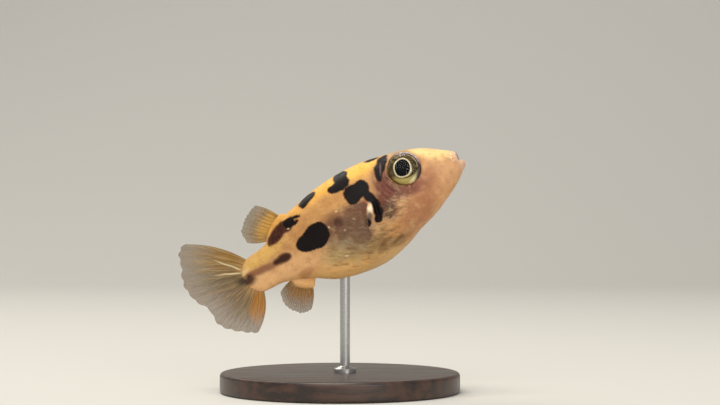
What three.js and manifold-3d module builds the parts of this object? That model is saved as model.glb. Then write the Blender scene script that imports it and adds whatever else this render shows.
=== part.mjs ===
// Dwarf pufferfish on a display stand: a still, life-size model, as a museum shows.
//
// Millimetres, +Z up. The fish is shaped level in a frame of its own: X runs forward from the
// root of the tail fin to the snout, Y to the fish's left, Z up its back. A group then pitches it
// nose-up and raises it over the stand, whose underside is the floor. Flesh is modelled whole and
// parted by thin cuts, so each named piece is a closed solid that stays just clear of the next.

import * as THREE from 'three';
import { mergeVertices } from 'three/addons/utils/BufferGeometryUtils.js';
import Module from 'manifold-3d';

const wasm = await Module();
wasm.setup();

// ---- Driving dimensions -----------------------------------------------------------------------

const PITCH = THREE.MathUtils.degToRad(29.4); // nose-up tilt of the swimming fish
const TAIL_ROOT = { x: -8.8, z: 11.6 }; // where the root of the tail fin hangs over the base
const GAP = 0.1; // width of the thin cuts between pieces

// The tail swings gently to the fish's left: sideways shift at the tip, and where it starts.
const SWING = { shift: 1.1, from: 9, to: -6.6 };

// Body stations. x is forward of the tail fin's root, back and belly are the heights of the two
// outlines, half is the half width and level the height at which the body is widest. crown is the
// fullness of the section above that level: 2 is an ellipse, and more is boxier.
const STATIONS = [
  { x: -0.9, back: 0.4, belly: -0.5, half: 0.2, level: 0, crown: 2 },
  { x: -0.6, back: 1.1, belly: -1.25, half: 0.32, level: 0, crown: 2 },
  { x: 0.2, back: 1.7, belly: -1.9, half: 0.52, level: 0, crown: 2 },
  { x: 2.6, back: 2.1, belly: -2.15, half: 1.05, level: 0, crown: 2 },
  { x: 5.2, back: 3.5, belly: -3.2, half: 1.85, level: -0.1, crown: 2 },
  { x: 7.4, back: 4.02, belly: -4.5, half: 2.6, level: -0.3, crown: 2 },
  { x: 10.0, back: 4.52, belly: -5.2, half: 3.3, level: -0.5, crown: 2 },
  { x: 12.5, back: 4.68, belly: -5.42, half: 3.6, level: -0.6, crown: 2.1 },
  { x: 15.0, back: 4.55, belly: -4.95, half: 3.5, level: -0.4, crown: 2.3 },
  { x: 17.2, back: 4.1, belly: -4.15, half: 3.15, level: -0.15, crown: 2.6 },
  { x: 19.2, back: 3.6, belly: -3.55, half: 2.7, level: 0, crown: 2.7 },
  { x: 21.2, back: 2.72, belly: -2.65, half: 2.05, level: 0, crown: 2.4 },
  { x: 22.6, back: 1.76, belly: -1.9, half: 1.42, level: -0.1, crown: 2.2 },
  { x: 23.3, back: 1.26, belly: -1.38, half: 1.1, level: -0.12, crown: 2.1 },
  { x: 23.8, back: 0.85, belly: -0.98, half: 0.82, level: -0.12, crown: 2 },
  { x: 24.15, back: -0.05, belly: -0.62, half: 0.4, level: -0.3, crown: 2 },
];
const KEEL = 2.3; // fullness of the section below that level, all along the body
const BODY_RINGS = 32;
const BODY_SIDES = 28;

// An eyeball is a flattened ball that looks a little forward and up; its rim is a ring of skin.
const EYE = { x: 18.42, z: 1.82, side: 1.92, radius: 1.75, depth: 1.38, forward: 8, upward: 8 };
const EYE_RIM = { radius: 1.62, thickness: 0.24, proud: 0.62 };
const NOSTRIL = { x: 21.3, z: 1.75, side: 1.36, radius: 0.17 };
const LIP_ROOT = 23.28; // where the lips leave the snout
const MOUTH_CUT = { x: 23.85, z: -0.08, lean: THREE.MathUtils.degToRad(8) };
const UPPER_LIP_FRONT = { x: 23.7, lean: THREE.MathUtils.degToRad(-9) }; // its bluff face

// Where the flesh is parted, and how far each cut leans back from the upright.
const NECK_CUT = { x: 14.9, lean: THREE.MathUtils.degToRad(14) };
const TAIL_CUT = { x: 2.85, lean: 0 };
const BELLY_CUT = { z: -2.35, lean: THREE.MathUtils.degToRad(5) };

// Fleshy lobes that carry the fins: centre, half sizes along, across and up, and turn in profile.
const LOBES = [
  { x: 4.4, y: 0, z: 3.12, along: 1.55, across: 0.5, up: 0.48, turn: 32 },
  { x: 4.15, y: 0, z: -3.1, along: 1.12, across: 0.5, up: 0.58, turn: -42 },
  { x: 13.3, y: 3.42, z: -0.75, along: 0.55, across: 0.42, up: 1.6, turn: -30 },
  { x: 13.3, y: -3.42, z: -0.75, along: 0.55, across: 0.42, up: 1.6, turn: -30 },
];
const GILL_SLIT = { x: 14.35, y: 3.6, z: -0.85, along: 0.1, across: 0.4, up: 1.35, turn: -24 };

// Fins, by a few guide rays from the upper or front edge to the lower or rear one. Each has its
// root and tip in profile and how far it bows to the outside of the fan.
const TAIL_FIN = {
  rays: 11, rows: 5, root: 0.7, tip: 0.5, ridge: 0.1, scallop: 0.03,
  guides: [
    { root: [0.35, 1.6], tip: [-4.57, 6.18], bow: 0.5 },
    { root: [-0.1, 1.35], tip: [-5.5, 5.55], bow: 0.35 },
    { root: [-0.35, 1.05], tip: [-6.05, 4.2], bow: 0.2 },
    { root: [-0.5, 0.65], tip: [-6.6, 2.6], bow: 0.1 },
    { root: [-0.55, 0.2], tip: [-6.5, 0.95], bow: 0 },
    { root: [-0.55, -0.3], tip: [-5.65, -0.7], bow: 0 },
    { root: [-0.5, -0.75], tip: [-5.5, -2.55], bow: -0.1 },
    { root: [-0.35, -1.15], tip: [-4.55, -3.8], bow: -0.2 },
    { root: [-0.1, -1.5], tip: [-3.3, -4.75], bow: -0.3 },
    { root: [0.35, -1.8], tip: [-2.35, -5.28], bow: -0.45 },
  ],
};
const DORSAL_FIN = {
  rays: 8, rows: 5, root: 0.62, tip: 0.5, ridge: 0.1, scallop: 0.03,
  guides: [
    { root: [5.35, 3.75], tip: [3.72, 6.02], bow: 0.2 },
    { root: [4.85, 3.4], tip: [3.0, 5.85], bow: 0.1 },
    { root: [4.4, 3.1], tip: [2.3, 5.45], bow: 0 },
    { root: [3.95, 2.8], tip: [1.65, 4.98], bow: -0.05 },
    { root: [3.55, 2.5], tip: [1.16, 4.25], bow: -0.1 },
    { root: [3.2, 2.25], tip: [1.14, 3.15], bow: -0.15 },
  ],
};
const ANAL_FIN = {
  rays: 8, rows: 5, root: 0.62, tip: 0.5, ridge: 0.1, scallop: 0.03,
  guides: [
    { root: [4.95, -3.5], tip: [3.55, -5.82], bow: -0.2 },
    { root: [4.55, -3.2], tip: [2.85, -5.86], bow: -0.1 },
    { root: [4.2, -2.95], tip: [2.2, -5.5], bow: 0 },
    { root: [3.9, -2.7], tip: [1.72, -4.85], bow: 0.05 },
    { root: [3.6, -2.45], tip: [1.4, -4.0], bow: 0.1 },
    { root: [3.35, -2.25], tip: [1.62, -2.85], bow: 0.1 },
  ],
};
// A pectoral fin is drawn flat against the flank, then swung out on its base like a door.
const PECTORAL_FIN = {
  rays: 13, rows: 4, root: 0.6, tip: 0.5, ridge: 0.1, scallop: 0.03,
  hinge: { x: 13.2, z: -0.75, side: 3.5 }, spread: THREE.MathUtils.degToRad(28),
  guides: [
    { root: [13.75, 0.5], tip: [10.45, 1.75], bow: 0.25 },
    { root: [13.5, 0.1], tip: [9.7, 0.95], bow: 0.12 },
    { root: [13.25, -0.45], tip: [9.3, -0.1], bow: 0 },
    { root: [13.0, -1.0], tip: [9.35, -1.25], bow: -0.08 },
    { root: [12.8, -1.5], tip: [9.85, -2.35], bow: -0.12 },
    { root: [12.65, -1.95], tip: [10.75, -3.15], bow: -0.2 },
  ],
};

const BASE = { radius: 12, thickness: 2, bevel: 0.35, sides: 48 };
const ROD = { x: 0.5, radius: 0.5, sides: 20, collar: 1.1, collarHeight: 0.6, socket: 0.9 };
const BELLY_ABOVE_ROD = 11.35; // height of the belly's skin over the rod

const FINISHES = {
  flank: { color: 0xd7a05a, roughness: 0.45, metalness: 0 },
  face: { color: 0xbe825f, roughness: 0.42, metalness: 0 },
  belly: { color: 0xb0905f, roughness: 0.4, metalness: 0 },
  lip: { color: 0xb09169, roughness: 0.35, metalness: 0 },
  eye: { color: 0x14140f, roughness: 0.08, metalness: 0 },
  fin: { color: 0xa08552, roughness: 0.4, metalness: 0 },
  plinth: { color: 0x2a1f1a, roughness: 0.5, metalness: 0 },
  steel: { color: 0xb8b8b6, roughness: 0.3, metalness: 1 },
};

// ---- Solid tools ------------------------------------------------------------------------------

/** A geometry from points and triangles, turned so that its faces point out. */
function geometryOf(points, triangles) {
  const geometry = new THREE.BufferGeometry();
  geometry.setAttribute('position', new THREE.Float32BufferAttribute(points.flat(), 3));
  const [a, b, c] = [new THREE.Vector3(), new THREE.Vector3(), new THREE.Vector3()];
  const volume = triangles.reduce((sum, [i, j, k]) => {
    a.fromArray(points[i]);
    b.fromArray(points[j]);
    c.fromArray(points[k]);
    return sum + a.dot(b.cross(c));
  }, 0);
  const facing = volume < 0 ? triangles.map(([i, j, k]) => [i, k, j]) : triangles;
  geometry.setIndex(facing.flat());
  return geometry;
}

/** A manifold solid from any closed three.js geometry. */
function solid(geometry) {
  const bare = geometry.clone();
  bare.deleteAttribute('normal');
  bare.deleteAttribute('uv');
  const merged = mergeVertices(bare, 1e-5);
  return new wasm.Manifold(new wasm.Mesh({
    numProp: 3,
    vertProperties: Float32Array.from(merged.attributes.position.array),
    triVerts: Uint32Array.from(merged.index.array),
  }));
}

/** The three.js geometry of a manifold solid. */
function geometryFrom(manifold) {
  const { vertProperties, triVerts, numProp } = manifold.getMesh();
  const positions = new Float32Array((vertProperties.length / numProp) * 3);
  for (let vertex = 0; vertex * numProp < vertProperties.length; vertex += 1) {
    for (let axis = 0; axis < 3; axis += 1) {
      positions[vertex * 3 + axis] = vertProperties[vertex * numProp + axis];
    }
  }
  const geometry = new THREE.BufferGeometry();
  geometry.setAttribute('position', new THREE.BufferAttribute(positions, 3));
  geometry.setIndex(Array.from(triVerts));
  return geometry;
}

/** A named mesh with one of the finishes. */
function piece(name, geometry, finish) {
  const shaded = geometry.clone();
  shaded.computeVertexNormals();
  const mesh = new THREE.Mesh(shaded, new THREE.MeshStandardMaterial(FINISHES[finish]));
  mesh.name = name;
  return mesh;
}

/** A solid that skins a list of equal rings, closed by a fan at each end. */
function loft(rings) {
  const sides = rings[0].length;
  const points = rings.flat();
  const triangles = [];
  for (let ring = 0; ring + 1 < rings.length; ring += 1) {
    for (let side = 0; side < sides; side += 1) {
      const here = ring * sides + side;
      const next = ring * sides + ((side + 1) % sides);
      triangles.push([here, next, here + sides], [next, next + sides, here + sides]);
    }
  }
  for (const [ring, turn] of [[0, -1], [rings.length - 1, 1]]) {
    const middle = points.length;
    points.push([0, 1, 2].map((axis) => rings[ring].reduce((sum, p) => sum + p[axis], 0) / sides));
    for (let side = 0; side < sides; side += 1) {
      const here = ring * sides + side;
      const next = ring * sides + ((side + 1) % sides);
      triangles.push(turn > 0 ? [middle, here, next] : [middle, next, here]);
    }
  }
  return geometryOf(points, triangles);
}

/** A closed plate between two faces of columns by rows points; point(i, j, face), face -1 or 1. */
function plate(columns, rows, point) {
  const points = [];
  for (const face of [-1, 1]) {
    for (let i = 0; i < columns; i += 1) {
      for (let j = 0; j < rows; j += 1) points.push(point(i, j, face));
    }
  }
  const at = (i, j, face) => (face * columns + i) * rows + j;
  const triangles = [];
  for (let i = 0; i + 1 < columns; i += 1) {
    for (let j = 0; j + 1 < rows; j += 1) {
      for (const face of [0, 1]) {
        const [p, q, r, s] = [at(i, j, face), at(i + 1, j, face), at(i + 1, j + 1, face), at(i, j + 1, face)];
        triangles.push(...(face ? [[p, q, r], [p, r, s]] : [[p, r, q], [p, s, r]]));
      }
    }
  }
  const border = [];
  for (let i = 0; i < columns; i += 1) border.push([i, 0]);
  for (let j = 1; j < rows; j += 1) border.push([columns - 1, j]);
  for (let i = columns - 2; i >= 0; i -= 1) border.push([i, rows - 1]);
  for (let j = rows - 2; j > 0; j -= 1) border.push([0, j]);
  border.forEach(([i, j], step) => {
    const [m, n] = border[(step + 1) % border.length];
    triangles.push([at(i, j, 0), at(m, n, 0), at(i, j, 1)], [at(m, n, 0), at(m, n, 1), at(i, j, 1)]);
  });
  return geometryOf(points, triangles);
}

// ---- The fish's form --------------------------------------------------------------------------

/** One column of the station table at x: a smooth cubic whose slopes come from the neighbours. */
function along(key, x) {
  const last = STATIONS.length - 1;
  let low = 0;
  while (low < last - 1 && STATIONS[low + 1].x < x) low += 1;
  const slope = (index) => {
    const before = STATIONS[Math.max(index - 1, 0)];
    const after = STATIONS[Math.min(index + 1, last)];
    return (after[key] - before[key]) / (after.x - before.x);
  };
  const [start, end] = [STATIONS[low], STATIONS[low + 1]];
  const span = end.x - start.x;
  const t = THREE.MathUtils.clamp((x - start.x) / span, 0, 1);
  const ease = t * t * (3 - 2 * t);
  return start[key] * (1 - ease) + end[key] * ease
    + span * t * (1 - t) * ((1 - t) * slope(low) - t * slope(low + 1));
}

/** Sideways shift of the swinging tail at x. */
function swing(x) {
  const reach = Math.max(0, (SWING.from - x) / (SWING.from - SWING.to));
  return SWING.shift * reach * reach;
}

/** The closed section of the body at x, grown outwards by a margin. */
function bodyRing(x, margin) {
  const level = along('level', x);
  const [back, belly, half] = [along('back', x) - level, level - along('belly', x), along('half', x)];
  return Array.from({ length: BODY_SIDES }, (_, side) => {
    const turn = (side / BODY_SIDES) * 2 * Math.PI;
    const [c, s] = [Math.cos(turn), Math.sin(turn)];
    const power = 2 / (s > 0 ? along('crown', x) : KEEL);
    const across = Math.sign(c) * Math.abs(c) ** power * (half + margin);
    const up = Math.sign(s) * Math.abs(s) ** power * ((s > 0 ? back : belly) + margin);
    return [x, across + swing(x), level + up];
  });
}

/** The whole body from tail root to lips, grown outwards by a margin. */
function bodySolid(margin) {
  const [first, last] = [STATIONS[0].x, STATIONS[STATIONS.length - 1].x];
  const rings = Array.from({ length: BODY_RINGS }, (_, ring) => {
    const t = ring / (BODY_RINGS - 1);
    const crowded = t + 0.06 * Math.sin(2 * Math.PI * t) * -1;
    return bodyRing(first + (last - first) * crowded, margin);
  });
  return solid(loft(rings));
}

/** An ellipsoid in the fish's frame: half sizes along X, Y and Z, turned in profile by degrees. */
function ellipsoid({ x, y, z, along: length, across, up, turn = 0 }, margin = 0, detail = [12, 8]) {
  const form = new THREE.SphereGeometry(1, ...detail);
  form.scale(length + margin, across + margin, up + margin);
  form.rotateY(THREE.MathUtils.degToRad(-turn));
  form.translate(x, y + swing(x), z);
  return solid(form);
}

/** The frame of the eye on one side, -1 right or 1 left: local Z is the way it looks. */
function eyeFrame(side) {
  const look = new THREE.Vector3(0, 0, 1);
  look.applyAxisAngle(new THREE.Vector3(1, 0, 0), -side * THREE.MathUtils.degToRad(90 - EYE.upward));
  look.applyAxisAngle(new THREE.Vector3(0, 0, 1), -side * THREE.MathUtils.degToRad(EYE.forward));
  const turn = new THREE.Quaternion().setFromUnitVectors(new THREE.Vector3(0, 0, 1), look);
  return new THREE.Matrix4().compose(
    new THREE.Vector3(EYE.x, side * EYE.side, EYE.z), turn, new THREE.Vector3(1, 1, 1),
  );
}

/** The eyeball on one side, grown by a margin. */
function eyeball(side, margin, detail) {
  const form = new THREE.SphereGeometry(1, ...detail);
  form.rotateX(Math.PI / 2);
  form.scale(EYE.radius + margin, EYE.radius + margin, EYE.depth + margin);
  return solid(form.applyMatrix4(eyeFrame(side)));
}

/** The ring of skin round the eye on one side. */
function eyeRim(side) {
  const form = new THREE.TorusGeometry(EYE_RIM.radius, EYE_RIM.thickness, 6, 20);
  form.translate(0, 0, EYE_RIM.proud);
  return solid(form.applyMatrix4(eyeFrame(side)));
}

/** A slab in the fish's frame, across the body at x or under it at z, leaning back by an angle. */
function slab({ x = 0, z = 0, lean }, thickness, upright) {
  const reach = 60;
  const form = upright
    ? new THREE.BoxGeometry(thickness, reach, reach)
    : new THREE.BoxGeometry(reach, reach, thickness);
  form.rotateY(upright ? -lean : lean);
  form.translate(x, 0, z);
  return solid(form);
}

/** Splits a solid at a slab into the part on its low side and the part on its high side. */
function part(whole, cut, upright) {
  const pieces = whole.subtract(slab(cut, GAP, upright)).decompose();
  const axis = upright ? 0 : 2;
  const middle = (form) => (form.boundingBox().min[axis] + form.boundingBox().max[axis]) / 2;
  return pieces.sort((a, b) => middle(a) - middle(b));
}

// ---- Fins -------------------------------------------------------------------------------------

/** The guide ray at u, 0 to 1 across a fan, on smooth curves through the roots, tips and bows. */
function fan(guides) {
  const curve = (pick) => {
    const points = guides.map((guide) => new THREE.Vector3(...pick(guide)));
    return new THREE.CatmullRomCurve3(points, false, 'centripetal');
  };
  const roots = curve(({ root: [x, z] }) => [x, 0, z]);
  const tips = curve(({ tip: [x, z], bow }) => [x, bow, z]);
  return (u) => {
    const tip = tips.getPoint(u);
    const bow = tip.y;
    return { root: roots.getPoint(u), tip: tip.setY(0), bow };
  };
}

/** A fan of rays as a plate: ridged along each ray and scalloped between their tips. */
function finPlate({ guides, rays, rows, root, tip, ridge, scallop }, place) {
  const columns = 2 * rays + 1;
  const guideAt = fan(guides);
  return plate(columns, rows, (i, j, face) => {
    const onRay = i % 2;
    const guide = guideAt(i / (columns - 1));
    const v = (j / (rows - 1)) * (onRay ? 1 : 1 - scallop);
    const outward = new THREE.Vector3().subVectors(guide.tip, guide.root).normalize();
    outward.set(outward.z, 0, -outward.x).multiplyScalar(guide.bow * 4 * v * (1 - v));
    const middle = guide.root.lerp(guide.tip, v).add(outward);
    const thickness = THREE.MathUtils.lerp(root, tip, v) + ridge * onRay;
    return place(middle, (face * thickness) / 2);
  });
}

/** A fin in the middle plane, which follows the tail's swing. */
function medianFin(fin) {
  return solid(finPlate(fin, (point, offset) => [point.x, offset + swing(point.x), point.z]));
}

/** A pectoral fin on one side, swung out from the flank about the line of its base. */
function pectoralFin(side) {
  const { hinge, spread, guides } = PECTORAL_FIN;
  const [top, bottom] = [guides[0].root, guides[guides.length - 1].root];
  const axis = new THREE.Vector3(top[0] - bottom[0], 0, top[1] - bottom[1]).normalize();
  const pivot = new THREE.Vector3(hinge.x, 0, hinge.z);
  return solid(finPlate(PECTORAL_FIN, (point, offset) => {
    const swung = new THREE.Vector3(point.x, offset, point.z).sub(pivot);
    swung.applyAxisAngle(axis, -spread).add(pivot);
    return [swung.x, side * (swung.y + hinge.side), swung.z];
  }));
}

// ---- The stand --------------------------------------------------------------------------------

/** The round base with a small bevel above and below. */
function standBase() {
  const { radius, thickness, bevel, sides } = BASE;
  const profile = [[0, 0], [radius - bevel, 0], [radius, bevel], [radius, thickness - bevel],
    [radius - bevel, thickness], [0, thickness]];
  const form = new THREE.LatheGeometry(profile.map(([r, z]) => new THREE.Vector2(r, z)), sides);
  form.rotateX(Math.PI / 2);
  return solid(form);
}

/** The upright rod and the collar at its foot, grown sideways and upwards by a margin. */
function standRod(margin) {
  const { x, radius, sides, collar, collarHeight, socket } = ROD;
  const top = BELLY_ABOVE_ROD + socket + margin;
  const profile = [[0, BASE.thickness], [collar, BASE.thickness],
    [collar, BASE.thickness + collarHeight * 0.6], [radius + margin, BASE.thickness + collarHeight],
    [radius + margin, top], [0, top]];
  const form = new THREE.LatheGeometry(profile.map(([r, z]) => new THREE.Vector2(r, z)), sides);
  form.rotateX(Math.PI / 2);
  form.translate(x, 0, 0);
  return form;
}

// ---- Assembly ---------------------------------------------------------------------------------

const fish = new THREE.Group();
fish.rotation.y = -PITCH;
fish.position.set(TAIL_ROOT.x, 0, TAIL_ROOT.z);
fish.updateMatrix();

/** The flesh before it is parted: body, fin lobes, eye rims and nostrils, less sockets and slits. */
function wholeFlesh() {
  let flesh = bodySolid(0);
  for (const lobe of LOBES) flesh = flesh.add(ellipsoid(lobe));
  for (const side of [-1, 1]) {
    const { x, z, side: across, radius } = NOSTRIL;
    const nostril = { x, y: side * across, z, along: radius, across: radius, up: radius };
    flesh = flesh.add(eyeRim(side)).add(ellipsoid(nostril, 0, [8, 6]));
    flesh = flesh.subtract(eyeball(side, GAP, [20, 10]));
    flesh = flesh.subtract(ellipsoid({ ...GILL_SLIT, y: side * GILL_SLIT.y }));
  }
  const rodHole = standRod(GAP).applyMatrix4(fish.matrix.clone().invert());
  return flesh.subtract(solid(rodHole));
}

/** The flesh and everything within a gap of it, which the fins are cut back from. */
function fleshWithGap() {
  return LOBES.reduce((grown, lobe) => grown.add(ellipsoid(lobe, GAP)), bodySolid(GAP));
}

/** The upper lip with its front cut to a bluff face, so that the lower lip juts out past it. */
function bluff(lip) {
  const reach = 2;
  const { x, lean } = UPPER_LIP_FRONT;
  return lip.subtract(slab({ x: x + reach / 2, lean }, reach, true));
}

/** The largest of the separate bodies that a cut leaves. */
function largest(form) {
  return form.decompose().sort((a, b) => b.volume() - a.volume())[0];
}

const [behindSnout, snoutTip] = part(wholeFlesh(), { x: LIP_ROOT, lean: 0 }, true);
const [lowerLip, upperLip] = part(snoutTip, MOUTH_CUT, false);
const [tailAndTrunk, head] = part(behindSnout, NECK_CUT, true);
const [tailStalk, trunkAndBelly] = part(tailAndTrunk, TAIL_CUT, true);
const [belly, trunk] = part(trunkAndBelly, BELLY_CUT, false);
const clearOf = fleshWithGap();

fish.add(
  piece('head', geometryFrom(head), 'face'),
  piece('upper_lip', geometryFrom(largest(bluff(upperLip))), 'lip'),
  piece('lower_lip', geometryFrom(lowerLip), 'lip'),
  piece('trunk', geometryFrom(trunk), 'flank'),
  piece('belly', geometryFrom(belly), 'belly'),
  piece('tail_stalk', geometryFrom(tailStalk), 'flank'),
  piece('tail_fin', geometryFrom(largest(medianFin(TAIL_FIN).subtract(clearOf))), 'fin'),
  piece('dorsal_fin', geometryFrom(largest(medianFin(DORSAL_FIN).subtract(clearOf))), 'fin'),
  piece('anal_fin', geometryFrom(largest(medianFin(ANAL_FIN).subtract(clearOf))), 'fin'),
);
for (const [name, side] of [['right', -1], ['left', 1]]) {
  fish.add(
    piece(`eye_${name}`, geometryFrom(eyeball(side, 0, [20, 12])), 'eye'),
    piece(`pectoral_fin_${name}`, geometryFrom(largest(pectoralFin(side).subtract(clearOf))), 'fin'),
  );
}

const model = new THREE.Group();
model.add(
  fish,
  piece('stand_base', geometryFrom(standBase()), 'plinth'),
  piece('stand_rod', geometryFrom(solid(standRod(0))), 'steel'),
);

export default model;
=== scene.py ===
"""Dwarf pufferfish on a display stand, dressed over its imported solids.

One skin covers the flesh from the root of the tail fin to the inside of the mouth. The eyes, the
fins and the stand are pieces of their own. The fish is shaped in a frame of its own, level and in
millimetres: X forward from the root of the tail fin, Y to its left and Z up its back. A Pose then
pitches it nose-up and lifts it over the stand, in metres.
"""
import itertools
import logging
import math
from dataclasses import dataclass
from enum import Enum

import bpy
import numpy as np
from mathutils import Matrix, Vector


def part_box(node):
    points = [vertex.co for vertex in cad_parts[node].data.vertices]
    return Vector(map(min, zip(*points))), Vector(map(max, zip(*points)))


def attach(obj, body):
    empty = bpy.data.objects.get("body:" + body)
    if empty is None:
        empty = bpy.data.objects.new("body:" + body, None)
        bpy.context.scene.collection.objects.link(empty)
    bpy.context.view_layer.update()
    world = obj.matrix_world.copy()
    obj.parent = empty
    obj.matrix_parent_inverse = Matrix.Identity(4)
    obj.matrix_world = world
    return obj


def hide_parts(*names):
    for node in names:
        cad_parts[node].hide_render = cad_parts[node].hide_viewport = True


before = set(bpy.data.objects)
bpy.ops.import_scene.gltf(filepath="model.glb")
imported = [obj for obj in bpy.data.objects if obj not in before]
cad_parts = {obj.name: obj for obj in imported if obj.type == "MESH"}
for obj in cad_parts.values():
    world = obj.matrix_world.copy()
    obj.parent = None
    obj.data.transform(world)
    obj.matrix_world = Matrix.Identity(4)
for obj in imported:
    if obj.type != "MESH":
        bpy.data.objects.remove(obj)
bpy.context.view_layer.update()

MM = 0.001
LOG = logging.getLogger("pufferfish")


# ---- Small shared tools -------------------------------------------------------------------------

def smooth(value: np.ndarray, low: float, high: float) -> np.ndarray:
    """An eased step from 0 at low to 1 at high.

    Args:
        value: Where to read the step.
        low: The value that gives 0.
        high: The value that gives 1.

    Returns:
        The step, between 0 and 1.
    """
    t = np.clip((value - low) / (high - low), 0.0, 1.0)
    return t * t * (3.0 - 2.0 * t)


def smooth_least(a: np.ndarray, b: np.ndarray, blend: float) -> np.ndarray:
    """The lesser of two distances, rounded where they meet.

    Args:
        a: One distance.
        b: The other distance.
        blend: The width of the rounding.

    Returns:
        The blended distance.
    """
    overlap = np.clip(blend - np.abs(a - b), 0.0, None) / blend
    return np.minimum(a, b) - overlap * overlap * blend * 0.25


def spline(values: np.ndarray, at: np.ndarray) -> np.ndarray:
    """Smooth curve through evenly spaced values.

    Args:
        values: Rows to pass through, one after another.
        at: Places from 0, the first row, to 1, the last.

    Returns:
        One interpolated row for each place.
    """
    last = len(values) - 1
    place = np.clip(at, 0.0, 1.0) * last
    low = np.minimum(place.astype(int), last - 1)
    t = (place - low)[:, None]
    before, after = np.maximum(low - 1, 0), np.minimum(low + 2, last)
    p0, p1, p2, p3 = values[before], values[low], values[low + 1], values[after]
    return 0.5 * (2 * p1 + (p2 - p0) * t + (2 * p0 - 5 * p1 + 4 * p2 - p3) * t ** 2
                  + (3 * p1 - p0 - 3 * p2 + p3) * t ** 3)


def unit(vectors: np.ndarray) -> np.ndarray:
    """Vectors scaled to a length of one."""
    return vectors / np.maximum(np.linalg.norm(vectors, axis=-1, keepdims=True), 1e-9)


def clouds(points: np.ndarray, fineness: float, seed: int) -> np.ndarray:
    """Smooth random values.

    Args:
        points: Where they are read.
        fineness: How many clouds there are to each millimetre.
        seed: Which clouds they are.

    Returns:
        Three values for each point, from -1 to 1.
    """
    lattice = np.random.default_rng(seed).uniform(-1.0, 1.0, (48, 48, 48, 3))
    place = points * fineness + 200.0
    low = np.floor(place).astype(int)
    t = place - low
    t = t * t * (3.0 - 2.0 * t)
    total = np.zeros(points.shape)
    for corner in itertools.product((0, 1), repeat=3):
        i, j, k = np.moveaxis((low + np.array(corner)) % len(lattice), -1, 0)
        share = np.prod(np.where(np.array(corner), t, 1.0 - t), axis=-1)
        total += share[..., None] * lattice[i, j, k]
    return total


@dataclass(frozen=True)
class Pose:
    """Where the level fish is carried: its nose-up pitch and the place of its tail root."""

    pitch: float = math.radians(29.4)
    root_x: float = -8.8
    root_z: float = 11.6

    def carry(self, points: np.ndarray) -> np.ndarray:
        """Puts points of the level fish in their place over the stand.

        Args:
            points: Places on the level fish, in millimetres.

        Returns:
            The same places in the row's frame, in metres.
        """
        c, s = math.cos(self.pitch), math.sin(self.pitch)
        x, y, z = points[..., 0], points[..., 1], points[..., 2]
        carried = np.stack([self.root_x + c * x - s * z, y, self.root_z + s * x + c * z], axis=-1)
        return carried * MM


@dataclass(frozen=True)
class Swing:
    """The gentle sideways sweep of the tail to the fish's left."""

    shift: float = 1.1
    start: float = 9.0
    end: float = -6.6

    def at(self, x: np.ndarray) -> np.ndarray:
        """Sideways shift at each place along the fish."""
        reach = np.clip((self.start - x) / (self.start - self.end), 0.0, None)
        return self.shift * reach * reach

    def swept(self, points: np.ndarray) -> np.ndarray:
        """Moves level points sideways with the tail.

        Args:
            points: Places on the straight fish.

        Returns:
            The same places on the swept fish.
        """
        moved = points.copy()
        moved[..., 1] += self.at(points[..., 0])
        return moved


POSE = Pose()
SWING = Swing()


class MeshPiece:
    """Gathers the points and faces of one piece of the fish and makes it an object."""

    def __init__(self, name: str) -> None:
        """Starts an empty piece.

        Args:
            name: What its object will be called.
        """
        self.name = name
        self.points: list[np.ndarray] = []
        self.faces: list[tuple[int, ...]] = []
        self.uvs: list[np.ndarray] = []
        self.fans: list[np.ndarray] = []
        self.count = 0

    def add(self, points: np.ndarray, faces: list[tuple[int, ...]], uv: np.ndarray | None = None,
            fan: np.ndarray | None = None) -> None:
        """Adds some points, and the faces that join them.

        Args:
            points: Places in the level fish's frame, in millimetres.
            faces: Corners of each face, counted from the first of these points.
            uv: A place on the unwrap for each point, if the piece has one.
            fan: A fin's own place for each point: across its fan, out from its root, and bead.
        """
        flat = points.reshape(-1, 3)
        self.points.append(flat)
        self.faces.extend(tuple(int(corner) + self.count for corner in face) for face in faces)
        if uv is not None:
            self.uvs.append(uv.reshape(-1, 2))
        if fan is not None:
            self.fans.append(fan.reshape(-1, 3))
        self.count += len(flat)

    def make(self, finish: bpy.types.Material, slot: str, replaces: tuple[str, ...] = (),
             paint: "SkinFinish | FinPaint | None" = None) -> bpy.types.Object:
        """Makes the object, and hands it to the frame.

        Args:
            finish: The material.
            slot: The name of the record's material slot for it; not used.
            replaces: The nodes that it stands for.
            paint: What works out the colours and markings to keep at each point, if anything.

        Returns:
            The finished object.
        """
        level = np.concatenate(self.points)
        mesh = bpy.data.meshes.new(self.name)
        mesh.from_pydata(POSE.carry(SWING.swept(level)).tolist(), [], self.faces)
        mesh.shade_smooth()
        self.store(mesh, "level_place", level)
        for name, values in (paint.fields(level) if paint else {}).items():
            self.store(mesh, name, values)
        if self.fans:
            self.store(mesh, "fan_place", np.concatenate(self.fans))
        if self.uvs:
            layer = mesh.uv_layers.new(name="OFBake")
            corners = np.empty(len(mesh.loops), dtype=np.int32)
            mesh.loops.foreach_get("vertex_index", corners)
            layer.data.foreach_set("uv", np.concatenate(self.uvs)[corners].astype(np.float32).ravel())
        mesh.validate()
        mesh.materials.append(finish)
        piece = bpy.data.objects.new(self.name, mesh)
        bpy.context.scene.collection.objects.link(piece)
        return hand_over(piece, replaces)

    def store(self, mesh: bpy.types.Mesh, name: str, values: np.ndarray) -> None:
        """Keeps three numbers for each point of a mesh, for its finish to read."""
        kept = mesh.attributes.new(name, "FLOAT_VECTOR", "POINT")
        kept.data.foreach_set("vector", values.astype(np.float32).ravel())


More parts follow.
